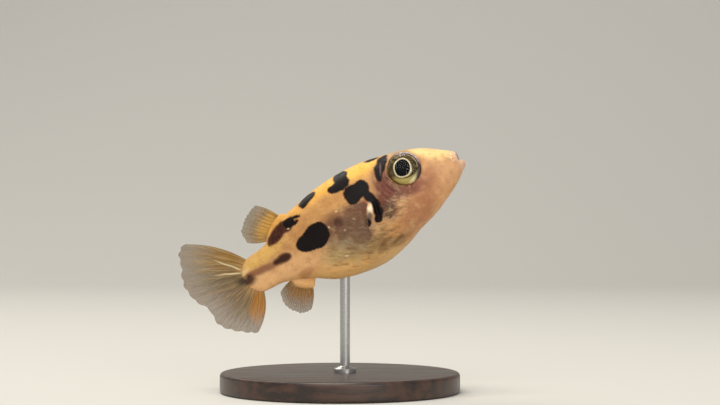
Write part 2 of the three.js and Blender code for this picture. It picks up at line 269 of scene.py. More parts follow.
def hand_over(piece: bpy.types.Object, replaces: tuple[str, ...] = ()) -> bpy.types.Object:
    """Tells the frame what a piece rides on and the nodes that it stands for.

    Args:
        piece: The finished object.
        replaces: The nodes that it stands for.

    Returns:
        The same object.
    """
    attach(piece, "root")
    if replaces:
        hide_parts(*replaces)
    LOG.info("%s: %d faces", piece.name, len(piece.data.polygons))
    return piece


def grid_faces(rows: int, columns: int, closed: bool) -> list[tuple[int, int, int, int]]:
    """Quads over a grid of points.

    Args:
        rows: How many rows of points.
        columns: How many points in a row.
        closed: Whether each row joins its own start.

    Returns:
        The corners of each quad.
    """
    wrap = columns if closed else columns - 1
    faces = []
    for i in range(rows - 1):
        for j in range(wrap):
            here, after = i * columns + j, i * columns + (j + 1) % columns
            faces.append((here, after, after + columns, here + columns))
    return faces


# ---- The form of the body -----------------------------------------------------------------------

@dataclass(frozen=True)
class Station:
    """A section of the body: outlines of back and belly, half width, widest level and fullness."""

    x: float
    back: float
    belly: float
    half: float
    level: float
    crown: float


@dataclass(frozen=True)
class BodyForm:
    """The smooth body, from the root of the tail fin to the lips."""

    keel: float = 2.3
    stations: tuple[Station, ...] = (
        Station(-0.9, 0.4, -0.5, 0.09, 0.0, 2.0),
        Station(-0.6, 1.1, -1.25, 0.17, 0.0, 2.0),
        Station(0.2, 1.7, -1.9, 0.45, 0.0, 2.0),
        Station(2.6, 2.1, -2.15, 1.05, 0.0, 2.0),
        Station(5.2, 3.5, -3.2, 1.85, -0.1, 2.0),
        Station(7.4, 4.02, -4.5, 2.6, -0.3, 2.0),
        Station(10.0, 4.52, -5.2, 3.3, -0.5, 2.0),
        Station(12.5, 4.68, -5.42, 3.6, -0.6, 2.1),
        Station(15.0, 4.55, -4.95, 3.5, -0.4, 2.3),
        Station(17.2, 4.1, -4.15, 3.15, -0.15, 2.6),
        Station(19.2, 3.6, -3.55, 2.7, 0.0, 2.7),
        Station(21.2, 2.72, -2.65, 2.05, 0.0, 2.4),
        Station(22.6, 1.76, -1.9, 1.42, -0.1, 2.2),
        Station(23.3, 1.26, -1.38, 1.1, -0.12, 2.1),
        Station(23.8, 0.85, -0.98, 0.82, -0.12, 2.0),
        Station(24.15, -0.05, -0.62, 0.4, -0.3, 2.0),
    )

    def column(self, key: str, x: np.ndarray) -> np.ndarray:
        """One measure of the stations at each place along the body.

        Args:
            key: The name of the measure.
            x: Places along the body.

        Returns:
            The measure, on a smooth cubic through the stations.
        """
        places = np.array([station.x for station in self.stations])
        values = np.array([getattr(station, key) for station in self.stations])
        last = len(places) - 1
        before = np.maximum(np.arange(last + 1) - 1, 0)
        after = np.minimum(np.arange(last + 1) + 1, last)
        slopes = (values[after] - values[before]) / (places[after] - places[before])
        low = np.clip(np.searchsorted(places, x) - 1, 0, last - 1)
        span = places[low + 1] - places[low]
        t = np.clip((x - places[low]) / span, 0.0, 1.0)
        ease = t * t * (3.0 - 2.0 * t)
        curved = span * t * (1.0 - t) * ((1.0 - t) * slopes[low] - t * slopes[low + 1])
        return values[low] * (1.0 - ease) + values[low + 1] * ease + curved

    def surface(self, x: np.ndarray, turn: np.ndarray) -> np.ndarray:
        """Points of the body's surface.

        Args:
            x: Places along the body.
            turn: Angles round it, from the fish's left side up over the back.

        Returns:
            A point for each place and angle.
        """
        c, s = np.cos(turn), np.sin(turn)
        level = self.column("level", x)
        power = 2.0 / np.where(s > 0.0, self.column("crown", x), self.keel)
        rise = np.where(s > 0.0, self.column("back", x) - level, level - self.column("belly", x))
        across = np.sign(c) * np.abs(c) ** power * self.column("half", x)
        up = np.sign(s) * np.abs(s) ** power * rise
        return np.stack([x + 0.0 * turn, across, level + up], axis=-1)

    def distance(self, points: np.ndarray) -> np.ndarray:
        """How far points lie outside the body, about.

        Args:
            points: Places on the level fish.

        Returns:
            The distances, below zero inside.
        """
        x, y, z = points[..., 0], points[..., 1], points[..., 2]
        level = self.column("level", x)
        height = z - level
        power = np.where(height > 0.0, self.column("crown", x), self.keel)
        rise = np.where(height > 0.0, self.column("back", x) - level, level - self.column("belly", x))
        across = np.abs(y) / self.column("half", x)
        ratio = (across ** power + (np.abs(height) / rise) ** power) ** (1.0 / power)
        radius = np.hypot(y, height)
        return radius * (1.0 - 1.0 / np.maximum(ratio, 1e-6))

    def side_at(self, x: float, z: float) -> float:
        """Half width of the body at a place in profile.

        Args:
            x: The place along the body.
            z: Its height.

        Returns:
            The half width there, or 0 beyond the outline.
        """
        here = np.array([x])
        level = float(self.column("level", here)[0])
        power = float(self.column("crown", here)[0]) if z > level else self.keel
        edge = "back" if z > level else "belly"
        rise = abs(float(self.column(edge, here)[0]) - level)
        share = min(abs(z - level) / rise, 1.0)
        return float(self.column("half", here)[0]) * (1.0 - share ** power) ** (1.0 / power)


BODY = BodyForm()


@dataclass(frozen=True)
class Lobe:
    """An ellipsoid on the level fish, turned in profile by degrees: a swelling, hollow or patch."""

    at: tuple[float, float, float]
    half_sizes: tuple[float, float, float]
    turn: float = 0.0

    def local(self, points: np.ndarray) -> np.ndarray:
        """Points as seen from the lobe's middle.

        Args:
            points: Places on the level fish.

        Returns:
            The same places along the lobe's length, depth and height.
        """
        angle = math.radians(self.turn)
        c, s = math.cos(angle), math.sin(angle)
        offset = points - np.array(self.at)
        return np.stack([c * offset[..., 0] + s * offset[..., 2], offset[..., 1],
                         -s * offset[..., 0] + c * offset[..., 2]], axis=-1)

    def distance(self, points: np.ndarray) -> np.ndarray:
        """How far points lie outside the lobe, about.

        Args:
            points: Places on the level fish.

        Returns:
            The distances, below zero inside.
        """
        local = self.local(points)
        scaled = np.linalg.norm(local / np.array(self.half_sizes), axis=-1)
        steep = np.linalg.norm(local / np.array(self.half_sizes) ** 2, axis=-1)
        return scaled * (scaled - 1.0) / np.maximum(steep, 1e-6)

    def inside(self, points: np.ndarray, softness: float) -> np.ndarray:
        """1 inside the lobe and 0 outside, eased over its edge."""
        scaled = np.linalg.norm(self.local(points) / np.array(self.half_sizes), axis=-1)
        return smooth(scaled, 1.0 + softness, 1.0 - softness)

    def mirrored(self) -> "Lobe":
        """The same lobe on the fish's other side."""
        x, y, z = self.at
        return Lobe((x, -y, z), self.half_sizes, self.turn)


class Side(Enum):
    """The fish's two sides, by the sign of Y."""

    RIGHT = -1
    LEFT = 1


@dataclass(frozen=True)
class EyePlace:
    """Where an eye sits and the way that it looks, a little forward and up."""

    side: Side
    x: float = 18.42
    out: float = 1.92
    z: float = 1.82
    radius: float = 1.75
    depth: float = 1.38
    fullness: float = 2.8
    forward: float = math.radians(8.0)
    upward: float = math.radians(8.0)

    def centre(self) -> np.ndarray:
        """The middle of the eyeball."""
        return np.array([self.x, self.side.value * self.out, self.z])

    def axes(self) -> np.ndarray:
        """The eye's own axes.

        Returns:
            Unit rows along its front, its top and the way it looks.
        """
        outward = np.array([math.sin(self.forward) * math.cos(self.upward),
                            self.side.value * math.cos(self.forward) * math.cos(self.upward),
                            math.sin(self.upward)])
        front = unit(np.cross(outward, np.array([0.0, 0.0, 1.0])) * self.side.value)
        top = np.cross(front, outward) * self.side.value
        return np.stack([front, top, outward])

    def local(self, points: np.ndarray) -> np.ndarray:
        """Points in the eye's own axes."""
        return (points - self.centre()) @ self.axes().T

    def place(self, local: np.ndarray) -> np.ndarray:
        """Points of the eye's own axes in the fish's frame."""
        return local @ self.axes() + self.centre()

    def dome_distance(self, points: np.ndarray, radius: float, depth: float, fullness: float
                      ) -> np.ndarray:
        """How far points lie outside a rounded disc about the eye's axis, about.

        Args:
            points: Places in the fish's frame.
            radius: The disc's radius.
            depth: Half its thickness.
            fullness: 2 for an ellipsoid, and more for a fuller edge.

        Returns:
            The distances.
        """
        local = self.local(points)
        wide = np.hypot(local[..., 0], local[..., 1]) / radius
        tall = np.abs(local[..., 2]) / depth
        ratio = (wide ** fullness + tall ** fullness) ** (1.0 / fullness)
        return np.linalg.norm(local, axis=-1) * (1.0 - 1.0 / np.maximum(ratio, 1e-6))


@dataclass(frozen=True)
class EyeSetting:
    """The low mound of skin round an eye and the opening that the eye fills."""

    place: EyePlace
    mound_radius: float = 1.9
    mound_depth: float = 1.12
    opening_radius: float = 1.77
    opening_depth: float = 1.6
    floor: float = 0.46

    def mound(self, points: np.ndarray) -> np.ndarray:
        """How far points lie outside the mound."""
        return self.place.dome_distance(points, self.mound_radius, self.mound_depth, 2.2)

    def opening(self, points: np.ndarray) -> np.ndarray:
        """How far points lie outside the opening, which goes down to a flat floor."""
        outside = self.place.dome_distance(points, self.opening_radius, self.opening_depth, 5.0)
        return np.maximum(outside, self.floor - self.place.local(points)[..., 2])


@dataclass(frozen=True)
class LipRing:
    """One ring of the mouth: how far forward it is at three places, and its width and heights."""

    upper_x: float
    lower_x: float
    corner_x: float
    half: float
    upper: float
    lower: float


# ---- Shader tools -------------------------------------------------------------------------------

def colour(code: int) -> tuple[float, float, float, float]:
    """A linear colour from the usual screen code.

    Args:
        code: Red, green and blue as six hexadecimal digits.

    Returns:
        The colour, fully solid.
    """
    channels = [((code >> shift) & 255) / 255.0 for shift in (16, 8, 0)]
    linear = [c / 12.92 if c <= 0.04045 else ((c + 0.055) / 1.055) ** 2.4 for c in channels]
    return (linear[0], linear[1], linear[2], 1.0)


class Graph:
    """A material's nodes, with short ways to add and join them."""

    def __init__(self, name: str) -> None:
        """Starts a material with one shader wired to its output.

        Args:
            name: The material's name.
        """
        self.material = bpy.data.materials.new(name)
        self.material.use_nodes = True
        self.tree = self.material.node_tree
        self.tree.nodes.clear()
        self.shader = self.node("ShaderNodeBsdfPrincipled")
        output = self.node("ShaderNodeOutputMaterial")
        self.tree.links.new(self.shader.outputs[0], output.inputs[0])

    def node(self, kind: str, **settings: object) -> bpy.types.Node:
        """A new node with some of its properties set.

        Args:
            kind: Which kind of node it is.
            **settings: The properties and their values.

        Returns:
            The node.
        """
        node = self.tree.nodes.new(kind)
        for key, value in settings.items():
            setattr(node, key, value)
        return node

    def feed(self, socket: bpy.types.NodeSocket, value: object) -> None:
        """Links a socket to another, or sets its value.

        Args:
            socket: The socket to fill.
            value: A node's output, or a plain value.
        """
        if isinstance(value, bpy.types.NodeSocket):
            self.tree.links.new(value, socket)
        else:
            socket.default_value = value

    def set(self, **values: object) -> None:
        """Sets or links the shader's sockets, named with underscores for spaces."""
        for key, value in values.items():
            self.feed(self.shader.inputs[key.replace("_", " ")], value)

    def stored(self, name: str) -> bpy.types.NodeSocket:
        """Three numbers kept at each point of the mesh."""
        return self.node("ShaderNodeAttribute", attribute_name=name).outputs["Vector"]

    def level_place(self) -> bpy.types.NodeSocket:
        """Each point's place on the level fish, in millimetres."""
        return self.stored("level_place")

    def object_place(self) -> bpy.types.NodeSocket:
        """Each point's place in the row's frame, in millimetres."""
        place = self.node("ShaderNodeTexCoord").outputs["Object"]
        return self.vector("MULTIPLY", place, (1000.0, 1000.0, 1000.0))

    def math(self, operation: str, *values: object) -> bpy.types.NodeSocket:
        """A sum or other operation on numbers.

        Args:
            operation: Which operation it is.
            *values: What it works on.

        Returns:
            Its result.
        """
        node = self.node("ShaderNodeMath", operation=operation)
        for socket, value in zip(node.inputs, values):
            self.feed(socket, value)
        return node.outputs[0]

    def vector(self, operation: str, *values: object) -> bpy.types.NodeSocket:
        """An operation on vectors.

        Args:
            operation: Which operation it is.
            *values: What it works on.

        Returns:
            Its result: a number for a length or a dot product, and otherwise a vector.
        """
        node = self.node("ShaderNodeVectorMath", operation=operation)
        for socket, value in zip(node.inputs, values):
            self.feed(socket, value)
        return node.outputs["Value" if operation in ("LENGTH", "DOT_PRODUCT") else "Vector"]

    def split(self, vector: bpy.types.NodeSocket) -> list[bpy.types.NodeSocket]:
        """Takes a vector apart.

        Args:
            vector: The vector.

        Returns:
            Its three numbers.
        """
        node = self.node("ShaderNodeSeparateXYZ")
        self.feed(node.inputs[0], vector)
        return list(node.outputs)

    def join(self, x: object, y: object, z: object) -> bpy.types.NodeSocket:
        """Joins three numbers.

        Args:
            x: The first number.
            y: The second number.
            z: The third number.

        Returns:
            The vector of all three.
        """
        node = self.node("ShaderNodeCombineXYZ")
        for socket, value in zip(node.inputs, (x, y, z)):
            self.feed(socket, value)
        return node.outputs[0]

    def step(self, value: object, low: float, high: float, to: tuple[float, float] = (0.0, 1.0)
             ) -> bpy.types.NodeSocket:
        """An eased step between two values.

        Args:
            value: What is read.
            low: The value that gives the first result.
            high: The value that gives the second result.
            to: The two results.

        Returns:
            The stepped value.
        """
        node = self.node("ShaderNodeMapRange", interpolation_type="SMOOTHSTEP")
        for socket, number in zip(node.inputs, (value, low, high, *to)):
            self.feed(socket, number)
        return node.outputs[0]

    def both(self, first: object, *others: object) -> bpy.types.NodeSocket:
        """The product of some amounts.

        Args:
            first: One amount.
            *others: The rest of them.

        Returns:
            The product, which is 1 only where every amount is.
        """
        result = first
        for amount in others:
            result = self.math("MULTIPLY", result, amount)
        return result

    def line(self, value: object, middle: float, width: float) -> bpy.types.NodeSocket:
        """1 where a value is near its middle, falling to 0 over a width."""
        away = self.math("ABSOLUTE", self.math("SUBTRACT", value, middle))
        return self.step(away, width, 0.25 * width)

    def mix(self, amount: object, first: object, second: object) -> bpy.types.NodeSocket:
        """A blend of two colours.

        Args:
            amount: How much of the second one shows, 0 to 1.
            first: One colour.
            second: The other colour.

        Returns:
            The blend.
        """
        node = self.node("ShaderNodeMix", data_type="RGBA", clamp_factor=True)
        for name, value in (("Factor_Float", amount), ("A_Color", first), ("B_Color", second)):
            self.feed(next(s for s in node.inputs if s.identifier == name), value)
        return next(s for s in node.outputs if s.identifier == "Result_Color")

    def noise(self, place: object, scale: float, detail: float = 2.0, rough: float = 0.5,
              coloured: bool = False) -> bpy.types.NodeSocket:
        """Cloudy noise.

        Args:
            place: Where it is read.
            scale: How many clouds there are to each unit.
            detail: How many finer layers it has.
            rough: How strong the finer layers are.
            coloured: Whether it gives three numbers instead of one.

        Returns:
            The noise, about 0.5.
        """
        node = self.node("ShaderNodeTexNoise")
        self.feed(node.inputs["Vector"], place)
        self.feed(node.inputs["Scale"], scale)
        self.feed(node.inputs["Detail"], detail)
        self.feed(node.inputs["Roughness"], rough)
        return node.outputs["Color" if coloured else "Fac"]

    def cells(self, place: object, scale: float) -> bpy.types.NodeSocket:
        """The distance to the nearest of many scattered points.

        Args:
            place: Where it is read.
            scale: How many of the points there are to each unit.

        Returns:
            The distance.
        """
        node = self.node("ShaderNodeTexVoronoi")
        self.feed(node.inputs["Vector"], place)
        self.feed(node.inputs["Scale"], scale)
        return node.outputs["Distance"]

    def shaken(self, place: object, fineness: float, reach: float) -> bpy.types.NodeSocket:
        """A place moved about by noise.

        Args:
            place: The place.
            fineness: How many clouds of noise there are to each unit.
            reach: Twice the furthest that it moves.

        Returns:
            The moved place.
        """
        cloud = self.noise(place, fineness, 1.0, coloured=True)
        centred = self.vector("SUBTRACT", cloud, (0.5, 0.5, 0.5))
        return self.vector("ADD", place, self.vector("MULTIPLY", centred, (reach,) * 3))

    def stretched(self, place: object, scale: tuple[float, float, float], turn: float = 0.0
                  ) -> bpy.types.NodeSocket:
        """A place turned in profile and then scaled.

        Args:
            place: The place.
            scale: The scale along each axis.
            turn: The turn in degrees.

        Returns:
            The new place.
        """
        node = self.node("ShaderNodeMapping", vector_type="POINT")
        self.feed(node.inputs["Vector"], place)
        self.feed(node.inputs["Rotation"], (0.0, math.radians(turn), 0.0))
        return self.vector("MULTIPLY", node.outputs[0], scale)

    def bump(self, height: object, depth: float, strength: float,
             before: bpy.types.NodeSocket | None = None) -> bpy.types.NodeSocket:
        """A bumped normal.

        Args:
            height: The height, 0 to 1.
            depth: The height of a full bump, in metres.
            strength: How much of it shows.
            before: A normal that it adds to.

        Returns:
            The normal.
        """
        node = self.node("ShaderNodeBump")
        self.feed(node.inputs["Height"], height)
        self.feed(node.inputs["Distance"], depth)
        self.feed(node.inputs["Strength"], strength)
        if before is not None:
            self.feed(node.inputs["Normal"], before)
        return node.outputs[0]


def patch(x: float, z: float, length: float, height: float, turn: float = 0.0,
          out: float | None = None, deep: float = 2.6) -> Lobe:
    """A patch that lies on the body's side at a place in profile.

    Args:
        x: Its middle along the body.
        z: Its middle's height.
        length: Half its length.
        height: Half its height.
        turn: Its turn in profile, in degrees.
        out: Its middle's place across, or nothing for the body's own side there.
        deep: Half its depth across the body.

    Returns:
        The patch.
    """
    side = BODY.side_at(x, z) if out is None else out
    return Lobe((x, side, z), (length, deep, height), turn)


@dataclass(frozen=True)
class Tint:
    """A soft patch of colour."""

    shade: int
    patch: Lobe
    strength: float = 1.0
    softness: float = 0.5

    def over(self, points: np.ndarray, under: np.ndarray) -> np.ndarray:
        """The colours beneath with this patch laid over them.

        Args:
            points: Places on the level fish.
            under: The colour beneath at each of them.

        Returns:
            The new colours.
        """
        amount = self.strength * self.patch.inside(points, self.softness)
        return under + amount[..., None] * (np.array(colour(self.shade)[:3]) - under)


@dataclass(frozen=True)
class Blotch:
    """A dark marking made of overlapping patches, crisp or soft at its edge."""

    shade: int
    patches: tuple[Lobe, ...]
    edge: float = 0.08
    strength: float = 1.0
    fringe: int = 0x6E3A20
    rounding: float = 0.16

    def distance(self, points: np.ndarray) -> np.ndarray:
        """How far points lie outside the marking.

        Args:
            points: Places on the level fish, folded onto one side.

        Returns:
            The distances, below zero inside and never more than a millimetre either way.
        """
        nearest = np.full(points.shape[:-1], 1.0)
        for lobe in self.patches:
            nearest = smooth_least(nearest, lobe.distance(points), self.rounding)
        return np.clip(nearest, -1.0, 1.0)

    def over(self, graph: Graph, distance: object, under: object) -> bpy.types.NodeSocket:
        """The colour beneath with the marking and its thin brown fringe laid over it.

        Args:
            graph: The material that it is added to.
            distance: How far outside the marking each point is.
            under: The colour beneath.

        Returns:
            The new colour.
        """
        fringe = graph.step(distance, 0.14, -0.04, (0.0, 0.6 * self.strength))
        fringed = graph.mix(fringe, under, colour(self.fringe))
        amount = graph.step(distance, self.edge, -self.edge, (0.0, self.strength))
        return graph.mix(amount, fringed, colour(self.shade))


# ---- Finishes -----------------------------------------------------------------------------------

@dataclass(frozen=True)
class SkinFinish:
    """Moist skin: golden back, tan flanks, dark blotches, silvery cheek and belly."""

    flank: int = 0xCC9A66
    tints: tuple[Tint, ...] = (
        # the flank, tan above and peach towards the tail
        Tint(0xC08C52, patch(8.5, 1.8, 6.0, 1.6, 6), 0.9),
        Tint(0xEBB880, patch(3.2, -1.6, 4.8, 1.5, -6), 0.95),
        Tint(0xD8AC5E, patch(1.6, 1.2, 2.8, 0.75, 4), 0.9),
        # the golden back, brightest between the spots and on the nape, where painted light from above is
        # laid over its own gold
        Tint(0xDDA450, patch(7.0, 3.9, 5.5, 0.9, 8, 1.2), 0.95),
        Tint(0xECB04A, patch(10.6, 4.4, 2.4, 1.0, 4, 1.0), 1.0),
        Tint(0xF8BE54, patch(14.3, 4.2, 2.6, 1.2, -4, 1.2), 1.0),
        # the silver-olive belly, and its warm lower edge, paler with painted light from below
        Tint(0xA4885E, patch(10.2, -2.3, 2.6, 1.5, -14), 0.9),
        Tint(0xB89A68, patch(8.9, -2.7, 1.5, 0.8, -20), 0.8),
        Tint(0x93744A, patch(13.6, -3.6, 2.6, 1.3, 4), 0.85),
        Tint(0xF2BE78, patch(7.9, -4.2, 4.2, 1.25, -10), 1.0),
        Tint(0xDDB274, patch(12.0, -5.0, 2.8, 0.55, 2), 0.85),
        Tint(0xCB935A, patch(15.3, -2.7, 1.8, 0.8, 14), 0.85),
        # the mauve-brown flank behind the pectoral fin, darkened by the fin's painted shadow
        Tint(0x6F4D3B, patch(10.1, 0.0, 2.4, 1.45, -8), 0.95),
        Tint(0x83604C, patch(12.0, -1.3, 1.3, 1.0, 0), 0.8),
        Tint(0x74483A, patch(12.6, 0.85, 1.35, 0.6, -20), 0.9),
        # the face, with a painted highlight along the top of the snout
        Tint(0xD49F70, patch(21.0, -0.4, 3.4, 2.9, 0), 0.95),
        Tint(0xB27B56, patch(17.9, -2.3, 2.6, 1.7, 24), 0.95),
        Tint(0xD4A276, patch(22.6, 0.1, 1.9, 1.9, 0), 0.85),
        # a painted highlight along the top of the snout
        Tint(0xFBD590, patch(21.7, 2.3, 2.5, 1.0, -33), 0.95),
        Tint(0xB99A72, patch(19.0, 3.6, 1.4, 0.5, -14, 1.0), 0.7),
        # dusky red round the back of the eye and over the gill
        Tint(0x5E342C, patch(16.3, 1.4, 1.2, 1.7, 18), 0.95),
        Tint(0x6A382D, patch(15.3, 0.4, 0.95, 1.7, -8), 0.95),
        Tint(0x76423A, patch(18.0, -0.1, 1.6, 0.6, -6), 0.9),
        Tint(0xA2694E, patch(19.7, -0.1, 1.1, 0.8, 20), 0.6),
        Tint(0x4A2A22, patch(15.0, -0.8, 0.85, 0.9, -20), 0.9),
        # a reddish place over the anal fin, and the tail stalk's brown streak, dark end and pale edge
        Tint(0xB5764C, patch(4.9, -2.4, 0.8, 0.45, 10), 0.6),
        Tint(0x8C5C40, patch(1.3, 0.02, 2.6, 0.36, -4), 0.9),
        Tint(0x341D18, patch(-0.6, -0.27, 0.9, 0.5, -12), 0.95, 0.5),
        Tint(0xE6C58C, patch(-0.6, 0.75, 0.7, 0.3, 16), 0.8),
    )
    # the brown end of the blotch under the dorsal fin
    brown: Blotch = Blotch(
        0x331813, (patch(4.3, 2.42, 1.42, 0.6, 21), patch(5.35, 2.66, 0.8, 0.58, 10)), 0.16, 0.96)
    # the soft spot on the tail stalk
    soft: Blotch = Blotch(
        0x351A13, (patch(3.75, -0.05, 0.72, 0.42, -6), patch(3.0, 0.0, 0.5, 0.26, 0)), 0.2, 0.95)
    # the smudge between the great flank spot and the pectoral fin
    smudge: Blotch = Blotch(0x3E211B, (patch(10.27, 0.44, 0.4, 0.42, 30),), 0.3, 0.8)
    # two faint painted shadows low on the belly
    shadow: Blotch = Blotch(
        0x6B4A2A, (patch(13.3, -3.5, 0.75, 0.22, 8), patch(14.6, -3.9, 0.6, 0.16, 10)), 0.3, 0.55)
    ink: Blotch = Blotch(0x120A0A, (
        # the great flank spot
        patch(7.75, 0.32, 1.28, 1.2), patch(6.35, 0.22, 1.0, 0.78), patch(8.2, 0.75, 0.75, 0.72),
        patch(7.05, 0.24, 1.0, 0.98),
        # the dark end and the squiggle of the blotch under the dorsal fin
        patch(5.85, 2.82, 0.66, 0.48), patch(6.75, 2.95, 0.5, 0.15, -12),
        patch(6.5, 2.5, 0.36, 0.13, 12),
        # the wedge on the edge of the back
        patch(8.55, 3.98, 1.1, 0.38, 12, 1.1, 1.5), patch(8.15, 3.7, 0.6, 0.24, 12, 1.5, 1.5),
        # the spot behind the nape and the larger one under it
        patch(12.55, 4.3, 0.78, 0.6, 10, 1.1, 1.7), patch(12.3, 3.65, 0.9, 0.58, 10),
        patch(11.4, 3.5, 0.6, 0.38, -20),
        patch(12.85, 2.2, 0.98, 0.95), patch(13.72, 2.25, 0.85, 0.82), patch(12.6, 1.55, 0.55, 0.4),
        # the bar that curves down in front of the pectoral fin, and the dark foot of the fin
        patch(14.1, 1.1, 0.5, 0.62, 10), patch(14.32, 0.32, 0.4, 0.68), patch(14.22, -0.5, 0.46, 0.6),
        patch(13.85, -1.15, 0.5, 0.36, 30), patch(12.72, -1.0, 0.36, 0.5, -30),
        # the crescent behind the eye and the thin mark on the edge of the nape
        patch(15.98, 2.68, 0.8, 0.35, 72), patch(16.42, 3.15, 0.66, 0.52, 52, None, 1.5),
        patch(16.88, 3.6, 0.62, 0.46, 40, None, 1.1), patch(17.15, 3.85, 0.6, 0.2, 8, None, 0.9),
        patch(16.0, 4.24, 0.75, 0.2, -6, 0.75, 0.8),
    ))
    # tiny pale glints painted as highlights on the flank and belly
    painted_glints: tuple[Lobe, ...] = (
        patch(11.7, -0.01, 0.14, 0.08, -25), patch(10.4, -0.49, 0.1, 0.08, -25),
        patch(9.15, 0.5, 0.1, 0.08, -25), patch(10.56, 1.49, 0.12, 0.08, -25),
        patch(9.3, -2.84, 0.2, 0.08, -25), patch(5.5, 2.32, 0.12, 0.08, -25),
    )
    left_shift: tuple[float, float] = (0.45, -0.25)
    eye: EyePlace = EyePlace(Side.LEFT)

    def folded(self, level: np.ndarray) -> np.ndarray:
        """Folds the fish onto one side, with the pattern on the left a little shifted.

        Args:
            level: Points on the level fish.

        Returns:
            The place in the pattern of each point.
        """
        x, y, z = level[..., 0], level[..., 1], level[..., 2]
        left = smooth(y, 0.0, 1.2) * smooth(x, 15.5, 13.0)
        return np.stack([x + self.left_shift[0] * left, np.abs(y), z + self.left_shift[1] * left], axis=-1)

    def fields(self, level: np.ndarray) -> dict[str, np.ndarray]:
        """The colours, the distances to the markings and the zones to keep at each point.

        Args:
            level: Points on the level fish.

        Returns:
            Three numbers for each point, by name.
        """
        folded = self.folded(level)
        tone = np.tile(np.array(colour(self.flank)[:3]), (len(level), 1))
        soft = folded + 0.3 * clouds(level, 0.8, 1)
        for tint in self.tints:
            tone = tint.over(soft, tone)
        wavy = folded + 0.1 * clouds(level, 1.4, 2)
        fine = folded + 0.06 * clouds(level, 2.4, 3)
        keel = smooth(folded[..., 1], 0.9, 0.1) * smooth(level[..., 2], -2.6, -4.2)
        keel = keel * smooth(level[..., 0], 7.0, 11.0) * smooth(level[..., 0], 18.0, 14.5)
        # one mask of the painted glints
        painted_glint = np.max([lobe.inside(fine, 0.6) for lobe in self.painted_glints], axis=0)
        groups = {
            "marks": (self.ink.distance(wavy), self.brown.distance(wavy), self.soft.distance(wavy)),
            "hints": (self.smudge.distance(wavy), self.shadow.distance(wavy),
                      self.brown.patches[0].inside(folded, 0.4)),
            "head_zones": (patch(15.7, 1.0, 1.5, 1.9, 20).inside(folded, 0.35),
                           patch(16.0, -0.95, 1.7, 0.95, 18).inside(folded, 0.45),
                           patch(23.36, 0.6, 0.4, 0.4).inside(folded, 0.5)),
            "belly_zones": (patch(11.2, -2.7, 4.6, 2.0, -4).inside(folded, 0.4),
                            patch(9.7, -1.5, 1.5, 0.8, -26).inside(folded, 0.5), keel),
            "base_touches": (patch(13.06, 0.34, 0.78, 0.24, 54).inside(fine, 0.5),
                             patch(13.2, -0.52, 0.4, 0.27, 60).inside(fine, 0.5),
                             patch(13.47, 0.0, 0.64, 0.29, 60).inside(fine, 0.4)),
            "small_touches": (painted_glint, patch(16.36, 2.95, 0.6, 0.075, 62).inside(folded, 0.45),
                              patch(12.6, -2.6, 6.0, 2.6).inside(folded, 0.4)),
        }
        return {"tone": tone} | {name: np.stack(group, axis=-1) for name, group in groups.items()}

    def dress(self) -> bpy.types.Material:
        """Makes the finish.

        Returns:
            Its material.
        """
        graph = Graph("puffer_skin")
        shade = self.clouded(graph, graph.stored("tone"))
        shade = self.gilled(graph, shade)
        shade = self.creased(graph, shade)
        shade = self.blotched(graph, shade)
        shade = self.touched(graph, shade)
        shade = self.lips(graph, shade)
        graph.set(Base_Color=shade, Roughness=self.gloss(graph), Normal=self.grain(graph))
        graph.set(Subsurface_Weight=0.16, Subsurface_Scale=0.3 * MM,
                  Subsurface_Radius=(1.0, 0.5, 0.3), Coat_Weight=0.05, Coat_Roughness=0.16,
                  Specular_IOR_Level=0.12)
        return graph.material

    def clouded(self, graph: Graph, shade: object) -> bpy.types.NodeSocket:
        """Soft clouds of lighter and darker skin, with a fine stipple of dark and pale dots.

        Args:
            graph: The material.
            shade: The colour beneath.

        Returns:
            The new colour.
        """
        place = graph.level_place()
        broad = graph.noise(place, 1.1, 3.0, 0.6)
        shade = graph.mix(graph.step(broad, 0.48, 0.72, (0.0, 0.3)), shade, colour(0x8E5B3C))
        shade = graph.mix(graph.step(broad, 0.5, 0.3, (0.0, 0.22)), shade, colour(0xF1C98C))
        dark = graph.step(graph.noise(place, 5.5, 2.0, 0.55), 0.56, 0.74, (0.0, 0.2))
        shade = graph.mix(dark, shade, colour(0x70452C))
        pale = graph.step(graph.noise(place, 8.0, 2.0, 0.55), 0.58, 0.8, (0.0, 0.18))
        return graph.mix(pale, shade, colour(0xF6DDB0))

    def gilled(self, graph: Graph, shade: object) -> bpy.types.NodeSocket:
        """Thin pinkish folds that run round behind the eye, and silvery mottling on the cheek.

        Args:
            graph: The material.
            shade: The colour beneath.

        Returns:
            The new colour.
        """
        behind, cheek, _ = graph.split(graph.stored("head_zones"))
        shaken = graph.shaken(graph.level_place(), 1.6, 0.22)
        from_eye = graph.vector("SUBTRACT", shaken, tuple(self.eye.centre()))
        away = graph.vector("LENGTH", graph.vector("MULTIPLY", from_eye, (1.0, 0.0, 1.0)))
        worn = graph.step(graph.noise(graph.level_place(), 0.9, 3.0, 0.6), 0.36, 0.6, (0.15, 1.0))
        worn = graph.both(worn, behind)
        folds = ((2.15, 0.1, 0xB87E70, 0.42), (2.55, 0.08, 0x9C6054, 0.3), (2.95, 0.09, 0xA86E60, 0.32),
                 (3.5, 0.1, 0xB8806E, 0.42), (2.35, 0.14, 0x42221E, 0.4), (3.25, 0.16, 0x482822, 0.4))
        for radius, width, code, strength in folds:
            fold = graph.both(graph.line(away, radius, width), worn, strength)
            shade = graph.mix(fold, shade, colour(code))
        mottle = graph.noise(graph.stretched(graph.level_place(), (0.8, 1.2, 1.5), -25), 1.5, 4.0, 0.62)
        dark = graph.both(cheek, graph.step(mottle, 0.52, 0.36), 0.6)
        shade = graph.mix(dark, shade, colour(0x74593F))
        return graph.mix(graph.both(cheek, graph.step(mottle, 0.46, 0.68), 0.85), shade, colour(0xD2B68E))

    def creases(self, graph: Graph) -> bpy.types.NodeSocket:
        """The long creases of the belly and the cheek."""
        return graph.noise(graph.stretched(graph.level_place(), (0.5, 1.0, 1.7), -29), 1.4, 4.0, 0.62)

